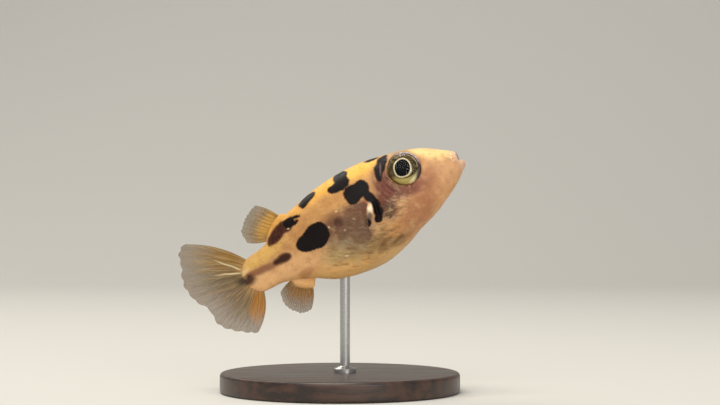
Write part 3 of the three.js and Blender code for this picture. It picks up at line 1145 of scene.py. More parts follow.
    def creased(self, graph: Graph, shade: object) -> bpy.types.NodeSocket:
        """Olive and silver creases along the belly, darker in their troughs and paler on their ridges,
        partly the skin's own olive and partly painted shade and glints, with a soft brown line under the
        throat.

        Args:
            graph: The material.
            shade: The colour beneath.

        Returns:
            The new colour.
        """
        creases = self.creases(graph)
        belly, silver, keel = graph.split(graph.stored("belly_zones"))
        # darker olive in the troughs of the bumped creases, partly painted shade
        dark = graph.both(belly, graph.step(creases, 0.52, 0.34), 0.6)
        shade = graph.mix(dark, shade, colour(0x6A5438))
        # paler on the ridges of the bumped creases, partly painted glints
        pale = graph.both(belly, graph.step(creases, 0.52, 0.68), 0.6)
        shade = graph.mix(pale, shade, colour(0xC6B184))
        silvered = graph.both(silver, graph.step(creases, 0.4, 0.6), 0.5)
        shade = graph.mix(silvered, shade, colour(0x9C9078))
        return graph.mix(graph.both(keel, 0.5), shade, colour(0x8A6234))

    def blotched(self, graph: Graph, shade: object) -> bpy.types.NodeSocket:
        """The markings and two faint painted shadows: soft brown ones first, and the black ones over them.

        Args:
            graph: The material.
            shade: The colour beneath.

        Returns:
            The new colour.
        """
        smudge, shadow, rusty = graph.split(graph.stored("hints"))
        ink, brown, soft = graph.split(graph.stored("marks"))
        fray = graph.math("MULTIPLY_ADD", graph.noise(graph.level_place(), 5.5, 1.0), 0.16, -0.08)
        shade = self.smudge.over(graph, smudge, shade)
        shade = self.shadow.over(graph, shadow, shade)
        shade = self.brown.over(graph, graph.math("ADD", brown, fray), shade)
        cloud = graph.noise(graph.level_place(), 2.6, 3.0, 0.6)
        rust = graph.both(rusty, graph.step(cloud, 0.48, 0.66), 0.45)
        shade = graph.mix(rust, shade, colour(0x7E4630))
        shade = self.soft.over(graph, graph.math("ADD", soft, fray), shade)
        return self.ink.over(graph, graph.math("ADD", ink, fray), shade)

    def touched(self, graph: Graph, shade: object) -> bpy.types.NodeSocket:
        """The white-gold base of the pectoral fin, partly a painted highlight, with its red edge, and a
        few painted pale glints.

        Args:
            graph: The material.
            shade: The colour beneath.

        Returns:
            The new colour.
        """
        red, foot, head = graph.split(graph.stored("base_touches"))
        painted_glint, line, _ = graph.split(graph.stored("small_touches"))
        shade = graph.mix(graph.both(line, 0.5), shade, colour(0x927066))
        shade = graph.mix(graph.both(red, 0.9), shade, colour(0x7A352C))
        # the white-gold fin base: its own pale colour brightened by a painted highlight
        cloud = graph.noise(graph.level_place(), 3.0, 2.0)
        white = graph.mix(graph.step(cloud, 0.4, 0.65), colour(0xFBEBCB), colour(0xE2B981))
        shade = graph.mix(graph.both(head, 0.97), shade, white)
        shade = graph.mix(graph.both(foot, 0.85), shade, colour(0x5E504A))
        # the painted pale glints
        return graph.mix(graph.both(painted_glint, 0.7), shade, colour(0xF4E0B8))

    def lips(self, graph: Graph, shade: object) -> bpy.types.NodeSocket:
        """Pale painted wet highlights and grey-brown edges on the upper lip, a pinkish lower lip, and
        painted shade in the gap between the lips.

        Args:
            graph: The material.
            shade: The colour beneath.

        Returns:
            The new colour.
        """
        x, across, z = graph.split(graph.level_place())
        y = graph.math("ABSOLUTE", across)
        muzzle = graph.step(x, 23.15, 23.6)
        shade = graph.mix(graph.both(muzzle, 0.7), shade, colour(0xD8B496))
        upper = graph.both(graph.step(x, 23.55, 23.8), graph.step(z, -0.1, 0.2))
        shade = graph.mix(graph.both(upper, 0.8), shade, colour(0x846C60))
        _, _, zone = graph.split(graph.stored("head_zones"))
        # pale wet highlights painted on the upper lip
        painted_glints = graph.step(graph.noise(graph.level_place(), 3.4, 1.0, 0.5), 0.5, 0.64)
        shade = graph.mix(graph.both(zone, painted_glints, 0.9), shade, colour(0xFFF0DC))
        specks = graph.step(graph.noise(graph.level_place(), 4.4, 1.0), 0.42, 0.34)
        shade = graph.mix(graph.both(zone, specks, 0.6), shade, colour(0x7A6250))
        # painted shade in the narrow gap between the lips
        inner = graph.both(graph.step(x, 23.75, 23.45), graph.step(y, 0.9, 0.7), muzzle)
        gap = graph.both(inner, graph.step(z, 0.08, 0.0), graph.step(z, -0.36, -0.24))
        return graph.mix(gap, shade, colour(0x4A2A20))

    def gloss(self, graph: Graph) -> bpy.types.NodeSocket:
        """Uneven moist gloss."""
        return graph.step(graph.noise(graph.level_place(), 2.2, 3.0), 0.3, 0.7, (0.42, 0.58))

    def grain(self, graph: Graph) -> bpy.types.NodeSocket:
        """The fine pebbled grain of tiny prickles, with shallow creases on the belly and cheek.

        Args:
            graph: The material.

        Returns:
            The bumped normal.
        """
        pebbles = graph.bump(graph.cells(graph.level_place(), 5.0), 0.03 * MM, 0.55)
        _, _, lower = graph.split(graph.stored("small_touches"))
        return graph.bump(graph.both(self.creases(graph), lower), 0.22 * MM, 0.6, pebbles)


@dataclass(frozen=True)
class FinPaint:
    """The colours of one fin and how solid it is at its root and at its margin."""

    name: str
    film: int
    margin: int
    ray: int
    solid: tuple[float, float]
    tints: tuple[Tint, ...] = ()
    ray_opacity: float = 0.9
    beads: float = 0.5

    def fields(self, level: np.ndarray) -> dict[str, np.ndarray]:
        """The fin's colour to keep at each point.

        Args:
            level: Points on the level fish.

        Returns:
            Three numbers for each point, by name.
        """
        tone = np.tile(np.array(colour(self.film)[:3]), (len(level), 1))
        loose = level + 0.1 * clouds(level, 1.0, 4)
        for tint in self.tints:
            tone = tint.over(loose, tone)
        return {"tone": tone}

    def ground(self, graph: Graph) -> bpy.types.NodeSocket:
        """The fin's kept colours, changing towards the margin."""
        _, out, _ = graph.split(graph.stored("fan_place"))
        return graph.mix(graph.step(out, 0.5, 1.0, (0.0, 0.7)), graph.stored("tone"), colour(self.margin))


@dataclass(frozen=True)
class FilmFinish:
    """The thin film between a fin's rays, finely streaked and clearer towards its margin."""

    paint: FinPaint
    rays: int

    def dress(self) -> bpy.types.Material:
        """Makes the finish.

        Returns:
            Its material.
        """
        graph = Graph(f"{self.paint.name}_film")
        fan = graph.stored("fan_place")
        _, out, _ = graph.split(fan)
        shade = self.paint.ground(graph)
        streaks = graph.noise(graph.vector("MULTIPLY", fan, (self.rays * 4.0, 2.2, 1.0)), 1.0, 3.0, 0.65)
        shade = graph.mix(graph.step(streaks, 0.5, 0.7, (0.0, 0.35)), shade, colour(0xD3BA8E))
        shade = graph.mix(graph.step(streaks, 0.5, 0.3, (0.0, 0.32)), shade, colour(0x4A3620))
        cover = graph.both(graph.step(out, 0.1, 0.95, self.paint.solid),
                           graph.step(streaks, 0.25, 0.75, (0.8, 1.15)))
        graph.set(Base_Color=shade, Roughness=0.42, Alpha=cover, Subsurface_Weight=0.1,
                  Subsurface_Scale=0.1 * MM, Coat_Weight=0.06, Coat_Roughness=0.2,
                  Specular_IOR_Level=0.2, Normal=graph.bump(streaks, 0.02 * MM, 0.5))
        return graph.material


@dataclass(frozen=True)
class RayFinish:
    """The bony rays: pale, beaded by their joints, and fleshy at the root."""

    paint: FinPaint

    def dress(self) -> bpy.types.Material:
        """Makes the finish.

        Returns:
            Its material.
        """
        graph = Graph(f"{self.paint.name}_ray")
        _, out, bead = graph.split(graph.stored("fan_place"))
        pale = graph.step(out, 0.0, 0.8, (0.1, 0.85))
        shade = graph.mix(pale, self.paint.ground(graph), colour(self.paint.ray))
        beaded = graph.both(graph.step(bead, 0.35, 0.75), self.paint.beads,
                            graph.step(out, 0.12, 0.32), graph.step(out, 0.8, 0.5))
        shade = graph.mix(beaded, shade, colour(0xF0DCAE))
        cover = graph.step(out, 0.35, 1.0, (self.paint.ray_opacity, 0.5 * self.paint.ray_opacity))
        graph.set(Base_Color=shade, Roughness=0.4, Alpha=cover,
                  Subsurface_Weight=0.15, Subsurface_Scale=0.1 * MM, Coat_Weight=0.1,
                  Coat_Roughness=0.2, Specular_IOR_Level=0.25)
        return graph.material


@dataclass(frozen=True)
class IrisFinish:
    """The painted rings of the eye, outwards from the pupil."""

    place: EyePlace
    pupil_at: tuple[float, float] = (-0.24, 0.05)

    def dress(self) -> bpy.types.Material:
        """Makes the finish.

        Returns:
            Its material.
        """
        graph = Graph(f"iris_{self.place.side.name.lower()}")
        front, top = self.directions(graph)
        across = self.from_middle(graph, front, top, (0.0, 0.0))
        rough = graph.noise(graph.level_place(), 3.2, 3.0, 0.65)
        fine = graph.noise(graph.level_place(), 8.0, 2.0, 0.6)
        shade = graph.mix(graph.step(rough, 0.4, 0.66), colour(0x2E2516), colour(0x7E6B42))
        shade = graph.mix(graph.step(fine, 0.52, 0.7, (0.0, 0.5)), shade, colour(0xA8946A))
        shade = self.crescent(graph, front, top, across, fine, shade)
        shade = self.edges(graph, front, top, across, rough, shade)
        shade = self.pupil(graph, front, top, fine, shade)
        graph.set(Base_Color=shade, Roughness=0.4, Specular_IOR_Level=0.08)
        return graph.material

    def towards(self, graph: Graph, front: object, top: object, degrees: float) -> bpy.types.NodeSocket:
        """How far each point lies from the eye's axis in one direction.

        Args:
            graph: The material.
            front: Distance from the axis towards the eye's front.
            top: Distance towards its top.
            degrees: The direction, up from the front.

        Returns:
            The distance that way.
        """
        turn = math.radians(degrees)
        direction = (math.cos(turn), math.sin(turn), 0.0)
        return graph.vector("DOT_PRODUCT", graph.join(front, top, 0.0), direction)

    def directions(self, graph: Graph) -> tuple[bpy.types.NodeSocket, bpy.types.NodeSocket]:
        """Distances from the eye's axis, in millimetres.

        Args:
            graph: The material.

        Returns:
            The distance towards the eye's front and the one towards its top.
        """
        offset = graph.vector("SUBTRACT", graph.level_place(), tuple(self.place.centre()))
        axes = self.place.axes()
        front = graph.vector("DOT_PRODUCT", offset, tuple(axes[0]))
        return front, graph.vector("DOT_PRODUCT", offset, tuple(axes[1]))

    def from_middle(self, graph: Graph, front: object, top: object, middle: tuple[float, float]
                    ) -> bpy.types.NodeSocket:
        """How far each point is from a middle on the iris.

        Args:
            graph: The material.
            front: Distance from the axis towards the eye's front.
            top: Distance towards its top.
            middle: The middle, in the same two distances.

        Returns:
            The distance from the middle.
        """
        aside = graph.math("SUBTRACT", front, middle[0])
        above = graph.math("SUBTRACT", top, middle[1])
        return graph.vector("LENGTH", graph.join(aside, above, 0.0))

    def crescent(self, graph: Graph, front: object, top: object, across: object, fine: object,
                 shade: object) -> bpy.types.NodeSocket:
        """The yellow-green crescent at the bottom, with a bright streak at its front end.

        Args:
            graph: The material.
            front: Distance from the axis towards the eye's front.
            top: Distance towards its top.
            across: Distance from the axis.
            fine: Fine noise.
            shade: The colour beneath.

        Returns:
            The new colour.
        """
        low = self.from_middle(graph, front, top, (0.06, 0.3))
        below = self.towards(graph, front, top, -108.0)
        band = graph.both(graph.step(low, 1.3, 1.5), graph.step(below, 0.5, 1.05),
                          graph.step(fine, 0.3, 0.6, (0.75, 1.0)))
        shade = graph.mix(band, shade, colour(0xC2B066))
        ahead = self.towards(graph, front, top, -64.0)
        streak = graph.both(graph.line(across, 1.42, 0.2), graph.step(ahead, 1.05, 1.35), 0.95)
        shade = graph.mix(streak, shade, colour(0xF0E8BE))
        tip = graph.both(graph.line(across, 1.6, 0.14), graph.line(front, 0.0, 0.5),
                         graph.step(top, -1.0, -1.3), 0.9)
        return graph.mix(tip, shade, colour(0xF0DCA4))

    def edges(self, graph: Graph, front: object, top: object, across: object, rough: object,
              shade: object) -> bpy.types.NodeSocket:
        """The dark rim with a broad purple painted shadow in front, and thin pale arcs towards the top
        painted as reflections along the cornea's rim.

        Args:
            graph: The material.
            front: Distance from the axis towards the eye's front.
            top: Distance towards its top.
            across: Distance from the axis.
            rough: Coarse noise.
            shade: The colour beneath.

        Returns:
            The new colour.
        """
        fore = self.towards(graph, front, top, -24.0)
        # a broad purple-brown painted shadow over the front of the iris
        front_shadow = graph.both(graph.step(across, 1.2, 1.4), graph.step(fore, 0.75, 1.25), 0.92)
        shade = graph.mix(front_shadow, shade, colour(0x3A2C34))
        upper_front = self.towards(graph, front, top, 40.0)
        # thin pale arcs towards the top: painted reflections along the cornea's rim
        rim_reflections = ((1.26, 0.07, 0xB59E84, 0.35), (1.55, 0.17, 0xD3C4C8, 0.8))
        for radius, width, code, start in rim_reflections:
            rim_reflection = graph.both(graph.line(across, radius, width), graph.step(upper_front, start, start + 0.5),
                             graph.step(rough, 0.38, 0.55, (0.45, 0.95)))
            shade = graph.mix(rim_reflection, shade, colour(code))
        return graph.mix(graph.step(across, 1.62, 1.72, (0.0, 0.85)), shade, colour(0x3A2824))

    def pupil(self, graph: Graph, front: object, top: object, fine: object, shade: object
              ) -> bpy.types.NodeSocket:
        """The slightly angular black pupil in its pale gold ring.

        Args:
            graph: The material.
            front: Distance from the axis towards the eye's front.
            top: Distance towards its top.
            fine: Fine noise.
            shade: The colour beneath.

        Returns:
            The new colour.
        """
        away = self.from_middle(graph, front, top, self.pupil_at)
        slow = graph.noise(graph.level_place(), 0.9, 0.0)
        bent = graph.math("ADD", away, graph.math("MULTIPLY_ADD", slow, 0.34, -0.17))
        shade = graph.mix(graph.step(bent, 1.2, 1.0, (0.0, 0.55)), shade, colour(0x3A3018))
        gold = graph.mix(graph.step(fine, 0.38, 0.66), colour(0xF2E8C8), colour(0xC6B27A))
        shade = graph.mix(graph.step(bent, 1.01, 0.91), shade, gold)
        return graph.mix(graph.step(bent, 0.84, 0.79), shade, colour(0x020203))


@dataclass(frozen=True)
class PlainFinish:
    """One even colour, with how rough it is, its coat, how solid it is and how it bends light."""

    name: str
    shade: int
    roughness: float
    coat: float = 0.0
    opacity: float = 1.0
    density: float = 1.5

    def dress(self) -> bpy.types.Material:
        """Makes the finish.

        Returns:
            Its material.
        """
        graph = Graph(self.name)
        graph.set(Base_Color=colour(self.shade), Roughness=self.roughness, Coat_Weight=self.coat,
                  Coat_Roughness=0.03, Alpha=self.opacity, IOR=self.density)
        return graph.material


@dataclass(frozen=True)
class WoodFinish:
    """Dark stained hardwood under a satin lacquer."""

    dark: int = 0x24150E
    light: int = 0x4A2F20

    def dress(self) -> bpy.types.Material:
        """Makes the finish.

        Returns:
            Its material.
        """
        graph = Graph("dark_wood")
        place = graph.object_place()
        bands = graph.noise(graph.stretched(place, (0.12, 1.0, 1.0)), 1.1, 4.0, 0.6)
        pores = graph.noise(graph.stretched(place, (0.5, 9.0, 9.0)), 1.2, 2.0, 0.5)
        shade = graph.mix(graph.step(bands, 0.35, 0.65), colour(self.dark), colour(self.light))
        shade = graph.mix(graph.step(pores, 0.6, 0.72, (0.0, 0.6)), shade, colour(0x150B07))
        graph.set(Base_Color=shade, Roughness=graph.step(bands, 0.3, 0.7, (0.36, 0.5)),
                  Coat_Weight=0.25, Coat_Roughness=0.25,
                  Normal=graph.bump(graph.step(pores, 0.55, 0.75, (1.0, 0.0)), 0.02 * MM, 0.4))
        return graph.material


@dataclass(frozen=True)
class SteelFinish:
    """Fine brushed steel."""

    shade: int = 0xB9B9B7

    def dress(self) -> bpy.types.Material:
        """Makes the finish.

        Returns:
            Its material.
        """
        graph = Graph("brushed_steel")
        brushing = graph.noise(graph.stretched(graph.object_place(), (1.0, 1.0, 14.0)), 2.0, 3.0, 0.6)
        graph.set(Base_Color=colour(self.shade), Metallic=1.0,
                  Roughness=graph.step(brushing, 0.3, 0.7, (0.24, 0.4)),
                  Normal=graph.bump(brushing, 0.006 * MM, 0.3))
        return graph.material


# ---- The skin -----------------------------------------------------------------------------------

@dataclass
class Skin:
    """One continuous skin from the tail fin's root, over the body, to the inside of the mouth."""

    rings: int = 322
    sides: int = 280
    mouth_rings: int = 24
    lip_root: float = 23.28
    reach_out: float = 1.3
    reach_in: float = -1.9
    tries: int = 65
    halvings: int = 10
    blend: float = 0.3
    mound_blend: float = 0.4
    opening_blend: float = 0.18
    slit_blend: float = 0.2
    mouth_level: float = -0.07
    lip_crown: float = 2.1
    lip_sweep: float = 0.8
    replaced: tuple[str, ...] = ("head", "upper_lip", "lower_lip", "trunk", "belly", "tail_stalk")
    lobes: tuple[Lobe, ...] = (
        Lobe((4.4, 0.0, 3.05), (1.5, 0.28, 0.42), 32),
        Lobe((4.15, 0.0, -3.1), (1.12, 0.3, 0.52), -42),
        Lobe((13.3, 3.42, -0.75), (0.42, 0.36, 1.45), -30),
        Lobe((13.5, 3.6, -0.02), (0.34, 0.3, 0.5), -30),
        Lobe((21.3, 1.36, 1.75), (0.17, 0.17, 0.17)),
    )
    slits: tuple[Lobe, ...] = (
        Lobe((14.1, 3.75, -0.4), (0.2, 0.42, 1.25), -14),
        Lobe((21.38, 1.54, 1.82), (0.08, 0.12, 0.08)),
    )
    lips: tuple[LipRing, ...] = (
        LipRing(23.28, 23.28, 23.28, 1.11, 1.27, -1.39),
        LipRing(23.45, 23.48, 23.4, 1.05, 1.13, -1.23),
        LipRing(23.66, 23.78, 23.5, 0.99, 0.99, -1.06),
        LipRing(23.82, 24.0, 23.57, 0.93, 0.82, -0.86),
        LipRing(23.87, 24.13, 23.6, 0.87, 0.58, -0.66),
        LipRing(23.84, 24.19, 23.58, 0.82, 0.28, -0.42),
        LipRing(23.78, 24.13, 23.52, 0.77, 0.05, -0.24),
        LipRing(23.66, 23.9, 23.4, 0.7, -0.02, -0.15),
        LipRing(23.3, 23.4, 23.1, 0.5, -0.03, -0.12),
        LipRing(23.05, 23.05, 23.0, 0.12, -0.05, -0.09),
    )

    def distance(self, points: np.ndarray) -> np.ndarray:
        """How far points lie outside the whole fleshy form.

        Args:
            points: Places on the level fish.

        Returns:
            The distances, below zero inside.
        """
        near = BODY.distance(points)
        for lobe in self.lobes:
            for form in (lobe, lobe.mirrored()):
                near = smooth_least(near, form.distance(points), self.blend)
        settings = [EyeSetting(EyePlace(side)) for side in Side]
        for setting in settings:
            near = smooth_least(near, setting.mound(points), self.mound_blend)
        for setting in settings:
            near = -smooth_least(-near, setting.opening(points), self.opening_blend)
        for slit in self.slits:
            for form in (slit, slit.mirrored()):
                near = -smooth_least(-near, form.distance(points), self.slit_blend)
        return near

    def body_grid(self) -> np.ndarray:
        """Rings of points over the body.

        Returns:
            The points, each moved along its normal onto the fleshy form.
        """
        x = np.linspace(BODY.stations[0].x, self.lip_root, self.rings)
        grid = BODY.surface(*np.meshgrid(x, self.turns(), indexing="ij"))
        step_x = np.gradient(grid, axis=0)
        step_turn = np.roll(grid, -1, axis=1) - np.roll(grid, 1, axis=1)
        normal = unit(np.cross(step_turn, step_x))
        return grid + normal * self.reach(grid, normal)[..., None]

    def turns(self) -> np.ndarray:
        """Angles round the body, from under the belly, up the left side and over the back."""
        return -0.5 * math.pi + np.linspace(0.0, 2.0 * math.pi, self.sides, endpoint=False)

    def reach(self, grid: np.ndarray, normal: np.ndarray) -> np.ndarray:
        """Where each point meets the fleshy form: found by trying inwards, then by halving.

        Args:
            grid: Points of the smooth body.
            normal: The way out at each of them.

        Returns:
            How far out along its normal each point goes, or 0 where nothing is met.
        """
        stops = np.linspace(self.reach_out, self.reach_in, self.tries)
        outer = np.full(grid.shape[:2], self.reach_out)
        inner = np.full(grid.shape[:2], self.reach_in)
        found = np.zeros(grid.shape[:2], dtype=bool)
        for before, after in zip(stops[:-1], stops[1:]):
            inside = self.distance(grid + normal * after) < 0.0
            fresh = inside & ~found
            outer[fresh], inner[fresh] = before, after
            found |= inside
        for _ in range(self.halvings):
            middle = 0.5 * (outer + inner)
            inside = self.distance(grid + normal * middle[..., None]) < 0.0
            inner = np.where(inside, middle, inner)
            outer = np.where(inside, outer, middle)
        return np.where(found, inner, 0.0)

    def mouth_grid(self) -> np.ndarray:
        """Rings of points round the lips and into the mouth.

        Returns:
            The points, ring by ring inwards.
        """
        table = np.array([[ring.upper_x, ring.lower_x, ring.corner_x, ring.half, ring.upper, ring.lower]
                          for ring in self.lips])
        rings = spline(table, np.linspace(0.0, 1.0, self.mouth_rings + 1)[1:])
        turn = self.turns()
        c, s = np.cos(turn), np.sin(turn)
        power = 2.0 / np.where(s > 0.0, self.lip_crown, BODY.keel)
        across = np.sign(c) * np.abs(c) ** power
        up = np.sign(s) * np.abs(s) ** power
        rows = []
        for upper_x, lower_x, corner_x, half, upper, lower in rings:
            middle_x = np.where(s > 0.0, upper_x, lower_x)
            bow = np.clip(1.0 - across ** 2, 0.0, None) ** self.lip_sweep
            x = corner_x + (middle_x - corner_x) * bow
            height = np.where(s > 0.0, upper - self.mouth_level, self.mouth_level - lower)
            rows.append(np.stack([x, across * half, self.mouth_level + up * height], axis=-1))
        return np.stack(rows)

    def build(self) -> MeshPiece:
        """Gathers the skin's points and faces.

        Returns:
            The piece, closed at its tail end and inside its mouth.
        """
        grid = np.concatenate([self.body_grid(), self.mouth_grid()])
        rows, columns = grid.shape[:2]
        across, along = np.meshgrid(np.linspace(0.02, 0.98, columns), np.linspace(0.02, 0.98, rows))
        piece = MeshPiece("skin")
        piece.add(grid, grid_faces(rows, columns, closed=True), np.stack([along, across], axis=-1))
        for ring, flip in ((0, True), (rows - 1, False)):
            ends = [(ring * columns + j, ring * columns + (j + 1) % columns) for j in range(columns)]
            middle = piece.count
            piece.add(grid[ring].mean(axis=0)[None], [], np.array([[0.01 if flip else 0.99, 0.5]]))
            piece.faces.extend((b, a, middle) if flip else (a, b, middle) for a, b in ends)
        return piece

    def dress(self) -> bpy.types.Object:
        """Makes the skin and its finish."""
        finish = SkinFinish()
        return self.build().make(finish.dress(), "flank_skin", self.replaced, finish)


# ---- The eyes -----------------------------------------------------------------------------------

@dataclass
class Eye:
    """An eye: the ball with its painted iris and the clear cornea over it."""

    place: EyePlace
    iris_inset: float = 0.03
    iris_drop: float = 0.1
    rings: int = 64
    sides: int = 96

    @property
    def side_name(self) -> str:
        """The side in words."""
        return self.place.side.name.lower()

    def dome(self, name: str, radius: float, depth: float) -> MeshPiece:
        """A closed, rounded disc about the eye's axis.

        Args:
            name: The piece's name.
            radius: Its radius.
            depth: Half its thickness.

        Returns:
            The piece.
        """
        heights = np.linspace(-0.5 * math.pi, 0.5 * math.pi, self.rings)[1:-1]
        turn = np.linspace(0.0, 2.0 * math.pi, self.sides, endpoint=False)
        height, around = np.meshgrid(heights, turn, indexing="ij")
        power = 2.0 / self.place.fullness
        wide = radius * np.cos(height) ** power
        tall = depth * np.sign(height) * np.abs(np.sin(height)) ** power
        local = np.stack([wide * np.cos(around), wide * np.sin(around), tall], axis=-1).reshape(-1, 3)
        poles = np.array([[0.0, 0.0, -depth], [0.0, 0.0, depth]])
        faces = grid_faces(len(heights), self.sides, closed=True)
        low, high = len(local), len(local) + 1
        last_row = (len(heights) - 1) * self.sides
        for j in range(self.sides):
            after = (j + 1) % self.sides
            faces.append((after, j, low))
            faces.append((last_row + j, last_row + after, high))
        if np.linalg.det(self.place.axes()) < 0.0:
            faces = [tuple(reversed(face)) for face in faces]
        piece = MeshPiece(name)
        piece.add(self.place.place(np.concatenate([local, poles])), faces)
        return piece

    def dress(self) -> None:
        """Makes the eye's pieces and their finishes."""
        radius, depth = self.place.radius, self.place.depth
        ball = self.dome(f"eye_{self.side_name}_ball", radius - self.iris_inset, depth - self.iris_drop)
        ball.make(IrisFinish(self.place).dress(), "eye", (f"eye_{self.side_name}",))
        clear = PlainFinish(f"cornea_{self.side_name}", 0x0A0A0A, 0.03, 0.3, 0.08, 1.8)
        self.dome(f"eye_{self.side_name}_cornea", radius, depth).make(clear.dress(), "eye")


# ---- The fins -----------------------------------------------------------------------------------

@dataclass(frozen=True)
class Guide:
    """A line across a fin from root to tip, in profile, and how far it bows to the outside."""

    root: tuple[float, float]
    tip: tuple[float, float]
    bow: float


@dataclass
class RayFin:
    """A fan of branching rays joined by a thin pleated membrane."""

    node: str
    guides: tuple[Guide, ...]
    rays: int
    seed: int
    paint: FinPaint
    ray_width: float = 0.085
    swell: float = 0.1
    swell_reach: float = 0.16
    pleat: float = 0.04
    film: float = 0.03
    scallop: float = 0.022
    fray: float = 0.008
    ragged: tuple[float, float] = (-0.025, 0.01)
    wave: float = 0.16
    film_rows: int = 40
    film_columns: int = 12
    steps: int = 90
    ray_sides: int = 8
    ray_depth: float = 1.15
    taper: float = 0.45
    joints: float = 24.0
    joint_depth: float = 0.14

    def sheet(self, u: np.ndarray, v: np.ndarray) -> np.ndarray:
        """Points of the fin's flat middle surface.

        Args:
            u: Places across the fan, 0 to 1.
            v: Places from root to tip, 0 to 1.

        Returns:
            Points in the level fish's frame.
        """
        roots = spline(np.array([guide.root for guide in self.guides]), u)
        tips = spline(np.array([guide.tip for guide in self.guides]), u)
        bows = spline(np.array([[guide.bow] for guide in self.guides]), u)[:, 0]
        v = v * self.length_share(u)
        outward = unit(tips - roots)
        sideways = np.stack([outward[:, 1], -outward[:, 0]], axis=-1)
        flat = roots + (tips - roots) * v[:, None] + sideways * (bows * 4.0 * v * (1.0 - v))[:, None]
        return np.stack([flat[:, 0], self.lift(u, v), flat[:, 1]], axis=-1)

    def length_share(self, u: np.ndarray) -> np.ndarray:
        """How far each line reaches: the margin dips between rays and varies from ray to ray.

        Args:
            u: Places across the fan, 0 to 1.

        Returns:
            The share of the guides' length at each place.
        """
        wave = 0.5 - 0.5 * np.cos(2.0 * math.pi * self.rays * u)
        fray = 0.5 - 0.5 * np.cos(8.0 * math.pi * self.rays * u)
        chance = np.random.default_rng(self.seed).uniform(*self.ragged, self.rays + 4)
        ray = np.interp(u * self.rays, np.arange(self.rays + 4) - 1.5, chance)
        return 1.0 - self.scallop * (1.0 - wave) ** 1.5 - self.fray * fray + ray

    def lift(self, u: np.ndarray, v: np.ndarray) -> np.ndarray:
        """Sideways place: a gentle wave over the fan, and a pleat along each ray."""
        wave = self.wave * np.sin(2.0 * math.pi * u + 0.6 * self.seed) * v * v
        return wave + self.pleat * np.cos(2.0 * math.pi * self.rays * u) * np.sqrt(np.clip(v, 0.0, 1.0))

    def placed(self, flat: np.ndarray) -> np.ndarray:
        """Points of the flat fin in place on the fish; a median fin is already there."""
        return flat

    def membrane(self) -> MeshPiece:
        """The thin film.

        Returns:
            The piece, closed all round.
        """
        columns, rows = self.film_columns * self.rays + 1, self.film_rows
        u, v = np.meshgrid(np.linspace(0.0, 1.0, columns), np.linspace(0.0, 1.0, rows), indexing="ij")
        u, v = u.ravel(), v.ravel()
        middle = self.sheet(u, v)
        half = np.tile(np.array([0.0, 0.5 * self.film, 0.0]), (len(middle), 1))
        uv = np.stack([0.02 + 0.96 * u, 0.02 + 0.46 * v], axis=-1)
        fan = np.stack([u, v, 0.0 * u], axis=-1)
        piece = MeshPiece(f"{self.node}_membrane")
        faces = grid_faces(columns, rows, closed=False)
        piece.add(self.placed(middle + half), faces, uv, fan)
        flipped = [tuple(reversed(face)) for face in faces]
        piece.add(self.placed(middle - half), flipped, uv + np.array([0.0, 0.5]), fan)
        border = [(i, 0) for i in range(columns)] + [(columns - 1, j) for j in range(1, rows)]
        border += [(i, rows - 1) for i in range(columns - 2, -1, -1)]
        border += [(0, j) for j in range(rows - 2, 0, -1)]
        count = columns * rows
        for (i, j), (m, n) in zip(border, border[1:] + border[:1]):
            here, after = i * rows + j, m * rows + n
            piece.faces.append((here, here + count, after + count, after))
        return piece

    def branches(self) -> list[tuple[float, float, float, float, float]]:
        """The stretches of every ray: one from the root, then two forks and four twigs.

        Returns:
            The place across the fan at both ends, the start, the end and the width of each.
        """
        lines = []
        gap = 1.0 / self.rays
        for ray in range(self.rays):
            middle = (ray + 0.5) * gap
            lines.append((middle, middle, 0.0, 0.36, 1.0))
            for side in (-1.0, 1.0):
                fork = middle + side * 0.24 * gap
                lines.append((middle, fork, 0.3, 0.66, 0.74))
                for inner in (-1.0, 1.0):
                    lines.append((fork, fork + inner * 0.12 * gap, 0.6, 1.0, 0.54))
        return lines

    def ray_tubes(self) -> MeshPiece:
        """The bony rays, jointed along their length and forking twice towards the margin.

        Returns:
            The piece, with every stretch closed at its ends.
        """
        piece = MeshPiece(f"{self.node}_rays")
        sides = self.ray_sides
        around = np.linspace(0.0, 2.0 * math.pi, sides, endpoint=False)
        for u_start, u_end, v_start, v_end, share in self.branches():
            count = max(10, int(self.steps * (v_end - v_start)))
            t = np.linspace(0.0, 1.0, count)
            v = v_start + (v_end - v_start) * t
            line = self.sheet(u_start + (u_end - u_start) * smooth(t, 0.0, 1.0), v)
            ahead = unit(np.gradient(line, axis=0))
            over = np.tile(np.array([0.0, 1.0, 0.0]), (count, 1))
            beside = unit(np.cross(ahead, over))
            joint = (0.5 + 0.5 * np.cos(2.0 * math.pi * v * self.joints)) ** 3
            width = 0.5 * self.ray_width * share * (1.0 - self.taper * v)
            width = width * (1.0 - self.joint_depth * joint)
            width = width + self.swell * share * np.exp(-(v / self.swell_reach) ** 2)
            ring = (beside[:, None] * np.cos(around)[None, :, None]
                    + over[:, None] * np.sin(around)[None, :, None] * self.ray_depth)
            tube = line[:, None] + ring * width[:, None, None]
            fan = np.stack([0.0 * v + u_start, v, 1.0 - joint], axis=-1)
            start = piece.count
            piece.add(self.placed(tube.reshape(-1, 3)), grid_faces(count, sides, closed=True),
                      fan=np.repeat(fan, sides, axis=0))
            piece.faces.append(tuple(start + j for j in reversed(range(sides))))
            piece.faces.append(tuple(start + (count - 1) * sides + j for j in range(sides)))
        return piece

    def dress(self) -> None:
        """Makes the fin's two pieces and their finishes."""
        film, ray = FilmFinish(self.paint, self.rays), RayFinish(self.paint)
        self.membrane().make(film.dress(), "fin_membrane", (self.node,), self.paint)
        self.ray_tubes().make(ray.dress(), "fin_membrane", paint=self.paint)


